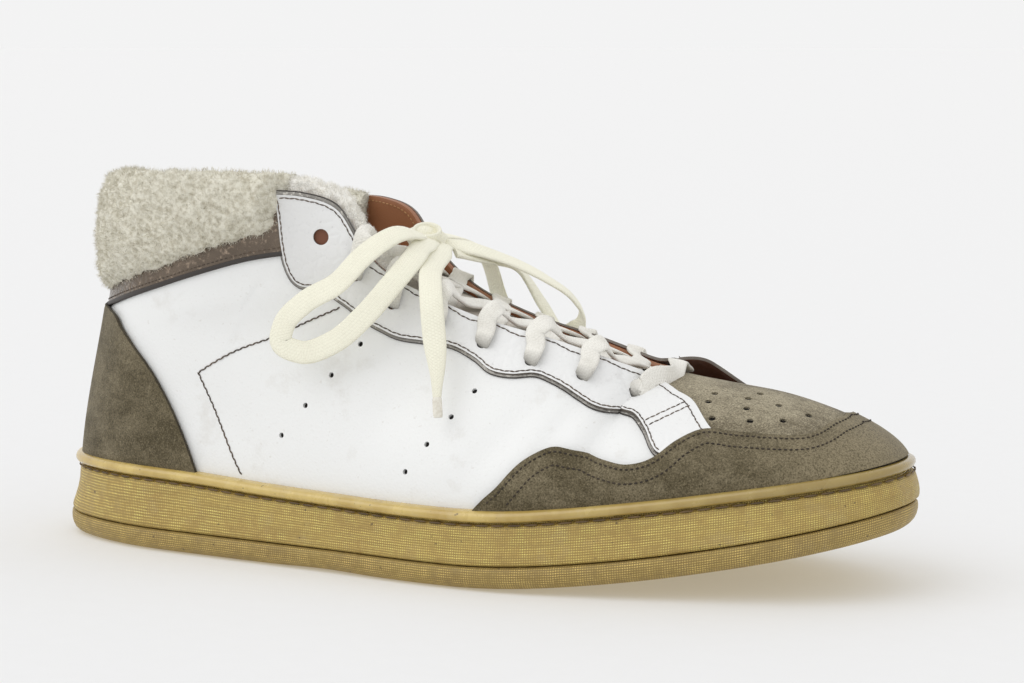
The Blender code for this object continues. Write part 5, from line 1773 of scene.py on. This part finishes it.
@dataclass
class Upper:
    """White shell with its lining, suede vamp, toe cap and heel counter."""

    wall: float = 2.2
    rows: int = 40
    skirt: float = 12.4
    collar_front: float = 0.212
    overlay_rise: float = 0.8
    overlay_wall: float = 1.25
    quarter_radius: float = 0.9
    lace_radius: float = 1.9
    under_radius: float = 1.5
    vamp_radius: float = 1.15
    shadow_disc_radius: float = 1.6
    quarter_holes: Rows = (
        (0.379, 0.657), (0.360, 0.493), (0.343, 0.343), (0.325, 0.203), (0.522, 0.587), (0.516, 0.443),
        (0.505, 0.297), (0.490, 0.153),
    )
    vamp_holes: Rows = (
        (0.810, 0.810), (0.806, 0.717), (0.819, 0.570), (0.868, 0.793), (0.864, 0.677), (0.868, 0.560),
        (0.893, 0.885), (0.917, 0.753), (0.912, 0.577), (0.955, 0.670),
    )
    vamp_low: Rows = (
        (0.690, 0.80), (0.745, 0.66), (0.775, 0.55), (0.800, 0.40), (0.830, 0.36), (0.920, 0.34),
        (1.000, 0.58),
    )
    quarter_line: Rows = (
        (0.281, 0.017), (0.263, 0.103), (0.231, 0.230), (0.193, 0.363), (0.1935, 0.3635), (0.217, 0.423),
        (0.271, 0.523), (0.330, 0.730),
    )

    def build(self) -> None:
        """Build the shell and its overlays."""
        self.add_shell()
        self.add_vamp()
        self.add_toe_cap()
        self.add_counter()
        self.add_seams()

    def add_shell(self) -> None:
        """Lay the white leather, line it and punch its holes."""
        rear, front = station(FORM.tab_rear), station(FORM.throat_front)
        t = np.concatenate([np.linspace(0.0, station(self.collar_front), 46), np.linspace(rear, front, 70),
                            np.linspace(front, 1.0, 40)[1:]])
        halves = []
        for side in BOTH:
            heights = np.linspace(0.0, 1.0, self.rows)[:, None] * FORM.collar_share(side, t)
            points = FORM.surface(side, np.broadcast_to(t, heights.shape), heights)
            skirt = points[0].copy()
            skirt[:, 2] = FORM.ground(skirt[:, 0]) + self.skirt
            halves.append(np.concatenate([skirt[None], points]))
        shell = Workshop.pair("upper_shell", halves)
        finishes = [Palette.WHITE, Palette.LINING]
        Workshop.dress(shell, finishes)
        Workshop.wall(shell, self.wall, -1.0, 0.35, 1, 1)
        groups = ((self.quarter_holes, self.quarter_radius), (EYELETS, self.lace_radius),
                  (self.vamp_holes, self.under_radius))
        holes = [(side, *hole, radius) for group, radius in groups for side in BOTH for hole in group]
        self.add_hole_shadow_discs()
        Workshop.cut(shell, punch(holes))
        Workshop.done(shell, finishes, "white_leather", ["upper"])

    def add_hole_shadow_discs(self) -> None:
        """Close the perforations with dark spots on the lining, painted shadow seen through the holes."""
        middles = []
        axes = []
        for holes, depth in ((self.quarter_holes, self.wall - 0.7), (self.vamp_holes, 0.5)):
            for along, height in holes:
                for side in BOTH:
                    spot = (side, station(along), np.float64(height))
                    middles.append(FORM.surface(*spot, -depth))
                    axes.append(stud(*spot, self.shadow_disc_radius, 0.25))
        shadow_discs = studs("perforation_shadow_discs", middles, axes, 16)
        Workshop.done(shadow_discs, [Palette.DARK], "tan_lining")

    def add_vamp(self) -> None:
        """Lay the perforated suede over the toes."""
        t = np.linspace(station(FORM.throat_front), 1.0, 60)
        vamp = both_sides("vamp_suede_panel", t, border(self.vamp_low, t), np.ones_like(t), 34, 0.1)
        Workshop.wall(vamp, 0.65, 1.0, 0.2)
        holes = [(side, *hole, self.vamp_radius) for side in BOTH for hole in self.vamp_holes]
        Workshop.cut(vamp, punch(holes, 4.0))
        Workshop.done(vamp, [Palette.VAMP], "taupe_suede")

    def add_toe_cap(self) -> None:
        """Lay the waved suede cap round the toe."""
        t = even_stations(TOE_WAVE, 0.578, 1.0, 150)
        low, high = np.full_like(t, -0.012), np.maximum(border(TOE_WAVE, t), -0.005)
        self.finish_overlay(both_sides("toe_cap_suede", t, low, high, 26, self.overlay_rise), "toe_cap")

    def finish_overlay(self, overlay: bpy.types.Object, node: str) -> None:
        """Give a suede overlay its thickness and its darker cut edges."""
        finishes = [Palette.TOE, Palette.CUT_SUEDE]
        Workshop.dress(overlay, finishes)
        Workshop.wall(overlay, self.overlay_wall, 1.0, 0.35, rim=1)
        Workshop.done(overlay, finishes, "taupe_suede", [node])

    def add_counter(self) -> None:
        """Lay the suede round the heel."""
        table = np.array(COUNTER_EDGE)
        heights = np.linspace(table[0, 1], table[-1, 1], 50)
        fronts = smooth(table[:, 1], station(table[:, 0]), heights)
        turn = np.linspace(-1.0, 1.0, 91)
        points = np.empty((len(heights), len(turn), 3))
        for row, (height, front) in enumerate(zip(heights, fronts)):
            at = np.abs(turn) * front
            both = [FORM.surface(side, at, np.full_like(at, height), self.overlay_rise) for side in BOTH]
            points[row] = np.where((turn > 0.0)[:, None], both[0], both[1])
        self.finish_overlay(Workshop.sheet("heel_counter_suede", points), "heel_counter")

    def add_seams(self) -> None:
        """Sew the quarter's line and the toe cap's two rows."""
        halves = self.quarter_line[:4], self.quarter_line[4:]
        lines = [rib_line(side, rows, 0.12) for side in BOTH for rows in halves]
        quarter = Seam(1.25, 1.3, 0.6, 0.45, 0.3).sew("quarter_stitches", lines)
        Workshop.done(quarter, [Palette.THREAD], "stitch_thread")
        rows = [self.inside_wave(side, inset) for inset in (1.7, 6.0) for side in BOTH]
        cap = Seam(1.7, 0.66, 0.62, 0.5).sew("toe_cap_stitches", rows)
        Workshop.done(cap, [Palette.CAP_THREAD], "stitch_thread")

    @staticmethod
    def inside_wave(side: Side, inset: float) -> tuple[np.ndarray, np.ndarray]:
        """Line that follows the toe cap's waved edge at a distance inside it."""
        t = even_stations(TOE_WAVE, 0.59, 1.0, 400)
        edge = FORM.base(side, t, border(TOE_WAVE, t))
        normal = FORM.normal(side, t, border(TOE_WAVE, t))
        inward = unit(np.cross(np.gradient(edge, axis=0), normal)) * -side.value
        wanted = edge + softened(inward, 25) * inset
        t, v = FORM.nearest(side, wanted, t, np.full_like(t, 0.3), 25, 0.5, (0.01, 1.0))
        keep = v > 0.03
        points, normals = over_last(side, t, v, 2.15)
        return points[keep], normals[keep]


def beside(side: Side, t: np.ndarray, v: np.ndarray, offset: float) -> tuple[np.ndarray, np.ndarray]:
    """Move a line over the last sideways.

    Args:
        side: Side of the shoe.
        t: Stations of the line, from heel to toe.
        v: Its heights.
        offset: Distance towards the rib's end; negative towards the rim.

    Returns:
        Stations and heights of the moved line.
    """
    edge = FORM.base(side, t, v)
    normal = FORM.normal(side, t, np.minimum(v, 1.0))
    upward = unit(np.cross(np.gradient(edge, axis=0), normal)) * side.value
    return FORM.nearest(side, edge + softened(upward, 9) * offset, t, v, 20, 0.6, (-0.02, 1.05))


@dataclass
class Eyestays:
    """White facings with punched holes, silver edge, stitches and the bronze collar band."""

    rise: float = 0.5
    wall: float = 1.0
    columns: int = 330
    rows: int = 34
    hole: float = 1.9
    top_hole: float = 2.6
    arch: float = 5.2
    strip: float = 0.85
    proud: float = 0.05
    columns_span: tuple[float, float] = (0.2185, 0.830)
    edge_span: tuple[float, float] = (0.217, 0.767)
    top_span: tuple[float, float] = (0.2185, 0.352)
    sewn_span: tuple[float, float] = (0.2215, 0.352)
    foot_span: tuple[float, float] = (0.66, 0.74)
    bow_middle: float = 0.728
    bow_width: float = 0.042
    band_front: float = 0.2365
    band_step: tuple[float, float] = (0.205, 0.216)
    collar_front: float = 0.2119
    band_low: Rows = (
        (0.000, 0.662), (0.056, 0.673), (0.103, 0.700), (0.165, 0.743), (0.205, 0.768), (0.233, 0.783),
        (0.245, 0.79),
    )
    scallop: Rows = (
        (0.350, 0.965), (0.395, 0.985), (0.420, 0.970), (0.445, 0.985), (0.470, 0.962), (0.495, 0.980),
        (0.522, 0.950), (0.550, 0.972), (0.580, 0.945), (0.610, 0.965), (0.640, 0.940), (0.662, 0.935),
    )
    foot_lines: tuple[Rows, ...] = (
        ((0.736, 0.517), (0.775, 0.673)), ((0.744, 0.490), (0.784, 0.645)),
    )

    def build(self) -> None:
        """Build both facings and the band."""
        for side in BOTH:
            self.add_stay(side)
        self.add_backing()
        self.add_strips()
        self.add_band()
        self.add_stitches()

    def lower_border(self, count: int) -> tuple[np.ndarray, np.ndarray]:
        """Stations and heights along the facing's lower border."""
        t = even_stations(STAY_BORDER, *self.edge_span, count)
        return t, np.minimum(border(STAY_BORDER, t), 1.0)

    @staticmethod
    def tab_top(span: tuple[float, float], count: int) -> tuple[np.ndarray, np.ndarray]:
        """Stations and heights along the tab's top edge."""
        t = np.linspace(station(span[0]), station(span[1]), count)
        return t, np.ones_like(t)

    def lift(self, side: Side, t: np.ndarray, v: np.ndarray) -> np.ndarray:
        """Rise of the facing over the last; its foot stands proud over the vamp."""
        start, end = (station(along) for along in self.foot_span)
        foot = ease((t - start) / (end - start))
        rise = self.rise + 0.4 * foot
        if side is Side.MEDIAL:
            near = np.exp(-(((t - station(self.bow_middle)) / self.bow_width) ** 2))
            bow = near * ease((v - 0.45) / 0.35)
            rise = rise + self.arch * bow
        return rise

    def on_top(self, side: Side, t: np.ndarray, v: np.ndarray) -> tuple[np.ndarray, np.ndarray]:
        """Points on the facing's face, and the outward directions there."""
        return over_last(side, t, v, self.lift(side, t, v) + self.wall + self.proud)

    def add_stay(self, side: Side) -> None:
        """Lay one facing, line it and punch its holes."""
        t = even_stations(STAY_BORDER, *self.columns_span, self.columns)
        low = border(STAY_BORDER, t)
        high = np.maximum(np.minimum(border(STAY_EDGE, t), 1.0), low + 0.004)
        heights = low + np.linspace(0.0, 1.0, self.rows)[:, None] * (high - low)
        at = np.broadcast_to(t, heights.shape)
        points = FORM.surface(side, at, heights, self.lift(side, at, heights))
        node = "eyestay_" + side.name.lower()
        stay = Workshop.panel(node + "_leather", side, points)
        finishes = [Palette.TAB, Palette.RUST, Palette.STAY_RIM]
        Workshop.dress(stay, finishes)
        holes = []
        for number, (along, height) in enumerate(EYELETS):
            radius = self.top_hole if number == len(EYELETS) - 1 else self.hole
            holes.append((*over_last(side, station(along), np.float64(height), self.rise), radius))
        Workshop.pierce(stay, holes)
        Workshop.wall(stay, self.wall, 1.0, 0.3, 1, 2)
        Workshop.done(stay, finishes, "white_leather", [node])

    def add_backing(self) -> None:
        """Back the top holes with the rust lining."""
        along, height = EYELETS[-1]
        spread = np.linspace(-1.0, 1.0, 8)
        spots = np.broadcast_arrays(station(along) + 0.012 * spread, height + 0.045 * spread[:, None])
        patches = [Workshop.panel("patch", side, FORM.surface(side, *spots, 0.5)) for side in BOTH]
        backing = Workshop.join("top_hole_backing", patches)
        Workshop.wall(backing, 0.5, -1.0, 0.0)
        Workshop.done(backing, [Palette.RUST], "tan_lining")

    def add_strips(self) -> None:
        """Lay the silver edge under the facings' lower border with a painted shadow line below it, and bind
        the tabs' tops.
        """
        strips = []
        dark = []
        low = self.lower_border(300)
        top, ones = self.tab_top(self.top_span, 120)
        for side in BOTH:
            rows = [FORM.surface(side, *beside(side, *low, offset), 0.12)
                    for offset in (-self.strip, -self.strip / 2.0, 0.0, 1.5)]
            strips.append(Workshop.wall(Workshop.panel("strip", side, np.array(rows)), 0.6, 1.0, 0.2))
            # Painted shadow: a dark line just below the strip's edge.
            line = over_last(side, *beside(side, *low, -self.strip - 0.05), 0.3)
            dark.append(Workshop.ribbon("line", *line, 0.4, 0.6))
            rise = unit(FORM.base(side, top, ones) - FORM.base(side, top, 0.97 * ones))
            edge, facing = over_last(side, top, ones, 0.6)
            if side is Side.MEDIAL:
                edge = FORM.surface(side, top, ones, 1.6) - 1.8 * rise
            strips.append(Workshop.ribbon("binding", edge + 0.3 * rise, facing, 2.1, 1.2))
            dark.append(Workshop.ribbon("line", edge + 1.3 * rise, facing, 0.35, 1.3))
        Workshop.done(Workshop.join("eyestay_silver_edge", strips), [Palette.SILVER], "silver_leather")
        Workshop.done(Workshop.join("eyestay_dark_line", dark), [Palette.EDGE], "bronze_leather")

    def add_band(self) -> None:
        """Wrap the bronze band round the collar under the wool."""
        t = np.linspace(0.0, station(self.band_front), 90)
        low = border(self.band_low, t)
        start, end = (station(along) for along in self.band_step)
        halves = []
        for side in BOTH:
            collar = FORM.collar_share(side, np.minimum(t, station(self.collar_front)))
            share = np.minimum(collar + 0.004, 1.0)
            high = share + (1.0 - share) * ease((t - start) / (end - start))
            heights = low + np.linspace(0.0, 1.0, 14)[:, None] * (high - low)
            halves.append(FORM.surface(side, np.broadcast_to(t, heights.shape), heights, 0.1))
        band = Workshop.pair("collar_band", halves)
        Workshop.wall(band, 0.85, 1.0, 0.3)
        Workshop.done(band, [Palette.BRONZE], "bronze_leather")
        hems = [over_last(side, t, low, 0.45) for side in BOTH]
        hem, facing = (np.concatenate([near[::-1], far[1:]]) for near, far in zip(*hems))
        edge = Workshop.ribbon("collar_band_hem", hem, facing, 1.7, 1.5)
        Workshop.done(edge, [Palette.EDGE], "bronze_leather")

    def add_stitches(self) -> None:
        """Sew the facings' edges, their feet and the band."""
        dark = []
        low = self.lower_border(500)
        top = self.tab_top(self.sewn_span, 200)
        front = even_stations(STAY_EDGE, 0.664, 0.828, 200)
        top_rise = self.rise + self.wall + self.proud
        for side in BOTH:
            t, v = beside(side, *low, 0.8)
            points, normals = self.on_top(side, t, v)
            keep = v < 0.985
            dark.append((points[keep], normals[keep]))
            dark.append(over_last(side, *beside(side, *top, -1.0), top_rise))
            dark.append(rib_line(side, self.scallop, top_rise))
            dark.append(self.on_top(side, *beside(side, front, border(STAY_EDGE, front), -2.6)))
            if side is Side.LATERAL:
                dark.extend(rib_line(side, rows, top_rise + 0.4) for rows in self.foot_lines)
        edges = Seam(1.7, 1.1, 0.5, 0.4, 0.14).sew("eyestay_stitches", dark)
        Workshop.done(edges, [Palette.THREAD], "stitch_thread")
        back = np.linspace(0.0, station(0.232), 300)
        rows = [over_last(side, back, border(self.band_low, back) + 0.022, 1.0) for side in BOTH]
        band = Seam(1.7, 0.7, 0.5, 0.4).sew("collar_band_stitches", rows)
        Workshop.done(band, [Palette.THREAD], "stitch_thread")
        inner = over_last(Side.MEDIAL, *beside(Side.MEDIAL, *top, -1.6), -2.25)
        lining = Seam(1.6, 0.7, 0.5, 0.4).sew("tab_lining_stitches", [inner])
        Workshop.done(lining, [Palette.TAN_THREAD], "stitch_thread")


@dataclass
class Shearling:
    """Deep wool collar and the fleece along the near tab, as a curled body with short fibres."""

    top: float = 127.5
    top_back: float = 124.0
    half: float = 7.4
    back_run: float = 60.0
    fullness: float = 0.93
    far_drop: float = 6.0
    rings: int = 300
    sides: int = 104
    fibres: int = 44000
    tab_fibres: int = 16000
    fibre_length: float = 2.1
    fibre_width: float = 0.06
    curls: Rows = ((5.2, 2.4), (2.3, 1.3))
    seed: int = 7

    def build(self) -> None:
        """Build the collar and the tab's fleece."""
        self.add_wool("shearling_pile", self.collar_roll(), self.fibres, ["shearling_collar"], Palette.WOOL)
        self.add_wool("tab_fleece", self.tab_roll(), self.tab_fibres, [], Palette.FLEECE)

    def collar_roll(self) -> bpy.types.Object:
        """Loft the roll that stands on the upper's edge behind the tabs."""
        turn = np.linspace(-1.0, 1.0, self.rings)
        angles = np.linspace(0.0, 2.0 * math.pi, self.sides + 1)
        grid = np.empty((self.rings, self.sides + 1, 3))
        for number, share in enumerate(turn):
            side = Side.LATERAL if share < 0.0 else Side.MEDIAL
            t = np.array([abs(share) * float(station(0.226))])
            low = FORM.base(side, t, FORM.collar_share(side, np.minimum(t, station(0.2119))))[0]
            out = FORM.outline(side, t)[1][0]
            top = self.top - float(FORM.fall(side, t, np.array([self.top]))[0])
            top -= (self.top - self.top_back) * max(0.0, 1.0 - low[0] / self.back_run)
            top -= self.far_drop * float(ease(np.float64(share)))
            end = ease((1.0 - abs(share)) / 0.045)
            slim = 0.6 + 0.4 * math.sqrt(end)
            half = (top - low[2] + 1.5) / 2.0
            lean = FORM.base(side, t, np.ones(1))[0] - low
            cos = np.sign(np.cos(angles)) * np.abs(np.cos(angles)) ** self.fullness
            sin = np.sign(np.sin(angles)) * np.abs(np.sin(angles)) ** self.fullness
            climb = np.minimum((half * sin + half) / max(lean[2], 1.0), 1.0)
            base = low[:2] + lean[:2] * climb[:, None] - out * (0.4 + 4.6 * (1.0 - end))
            grid[number, :, :2] = base + out * (self.half * slim * cos)[:, None]
            grid[number, :, 2] = low[2] - 1.0 + half + half * sin * (0.92 + 0.08 * slim)
        roll = Workshop.sheet("collar_roll", grid)
        Workshop.weld(roll, 0.02, close=True)
        return roll

    def tab_roll(self) -> bpy.types.Object:
        """Loft the fleece that shows over the near tab's top and front edge."""
        t = np.linspace(station(0.214), station(0.385), 170)
        ones = np.ones_like(t)
        edge = FORM.base(Side.LATERAL, t, ones)
        rise = unit(edge - FORM.base(Side.LATERAL, t, 0.97 * ones))
        normal = FORM.normal(Side.LATERAL, t, ones)
        share = np.linspace(0.0, 1.0, len(t))
        grow = np.minimum(ease(share / 0.06), ease((1.0 - share) / 0.25))
        middle = edge - 4.8 * normal + 0.4 * rise
        angles = np.linspace(0.0, 2.0 * math.pi, 49)
        grow = grow[:, None, None]
        deep = normal[:, None] * (np.cos(angles) * 3.0)[None, :, None] * (0.4 + 0.6 * grow)
        high = rise[:, None] * (np.sin(angles) * 5.2)[None, :, None] * (0.35 + 0.65 * grow)
        grid = middle[:, None] + deep + high
        roll = Workshop.sheet("tab_roll", grid)
        Workshop.weld(roll, 0.02, close=True)
        return roll

    def add_wool(self, name: str, roll: bpy.types.Object, count: int, nodes: Sequence[str],
                 finish: Finish) -> None:
        """Curl a roll's surface and set fibres on it.

        Args:
            name: Name of the finished piece.
            roll: Smooth closed body.
            count: Number of fibres.
            nodes: CAD nodes that the piece stands for.
            finish: Finish of body and fibres.
        """
        for size, height in self.curls:
            cloud = bpy.data.textures.new("curls", "CLOUDS")
            cloud.noise_scale = size * MM
            cloud.noise_depth = 1
            Workshop.apply(roll, "DISPLACE", texture=cloud, texture_coords="LOCAL",
                           strength=height * MM, mid_level=0.55)
            bpy.data.textures.remove(cloud)
        mesh = roll.data
        mesh.calc_loop_triangles()
        corners = np.array([triangle.vertices[:] for triangle in mesh.loop_triangles])
        places = np.array([vert.co[:] for vert in mesh.vertices]) / MM + MIDDLE
        outward = np.array([vert.normal[:] for vert in mesh.vertices])
        first, second, third = (places[corners[:, corner]] for corner in range(3))
        area = np.linalg.norm(np.cross(second - first, third - first), axis=1)
        chance = np.random.default_rng(self.seed)
        pick = chance.choice(len(corners), count, p=area / area.sum())
        weights = chance.dirichlet((1.0, 1.0, 1.0), count)
        roots = np.einsum("nc,ncj->nj", weights, places[corners[pick]])
        normal = unit(np.einsum("nc,ncj->nj", weights, outward[corners[pick]]))
        waves = (((1.7, 1.3, 2.1), 0.3), ((-1.5, 2.2, 1.1), 1.7), ((1.1, -1.7, 1.9), 2.9))
        clump = np.stack([np.sin(roots @ np.array(row) + phase) for row, phase in waves], -1)
        lean = unit(normal + 0.55 * clump + 0.35 * chance.normal(size=(count, 3)))
        across = unit(np.cross(lean, chance.normal(size=(count, 3))))
        length = self.fibre_length * (0.6 + 0.6 * chance.random(count))[:, None]
        width = self.fibre_width * (0.7 + 0.6 * chance.random(count))[:, None]
        bend = unit(np.cross(lean, across)) * length * 0.35 * chance.choice((-1.0, 1.0), count)[:, None]
        start = roots - 0.4 * normal
        middle = start + lean * length * 0.55 + bend
        tip = start + lean * length * 0.95 + 0.2 * bend
        verts = np.stack([start - across * width, start + across * width, middle + across * width * 0.9,
                          middle - across * width * 0.9, tip], 1)
        index = np.arange(count)[:, None] * 5
        quads = [tuple(row) for row in (index + np.array((0, 1, 2, 3))).tolist()]
        tips = [tuple(row) for row in (index + np.array((3, 2, 4))).tolist()]
        pile = bpy.data.meshes.new("pile")
        pile.from_pydata(FORM.place(verts.reshape(-1, 3)).tolist(), [], quads + tips)
        fleece = bpy.data.objects.new("pile", pile)
        bpy.context.scene.collection.objects.link(fleece)
        piece = Workshop.join(name, [roll, fleece])
        Workshop.done(piece, [finish], "shearling_wool", nodes, 180.0)


@dataclass
class Tongue:
    """Padded tongue under the laces."""

    top: float = 0.335
    front: float = 0.72
    thickness: float = 3.0
    sink: float = 1.0

    def build(self) -> None:
        """Lay the tongue, a little pressed down by the laces, and give it its body."""
        t = np.linspace(station(self.top), station(self.front), 90)
        across = np.linspace(0.0, 1.0, 40)[:, None]
        crown = -self.sink * np.sin(math.pi * across) * np.ones_like(t)
        points = FORM.tongue(np.broadcast_to(t, crown.shape), np.broadcast_to(across, crown.shape), crown)
        tongue = Workshop.sheet("tongue_pad", points)
        Workshop.wall(tongue, self.thickness, -1.0, 0.8)
        Workshop.done(tongue, [Palette.TONGUE], "tongue_leather", ["tongue"])


def main() -> None:
    """Build every sub-assembly in order."""
    logging.basicConfig(level=logging.INFO, format="%(message)s")
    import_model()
    for assembly in (Studio(), Laces(), Sole(), Upper(), Eyestays(), Shearling(), Tongue()):
        assembly.build()
        LOG.info("%s built", type(assembly).__name__)


if __name__ == "__main__":
    main()
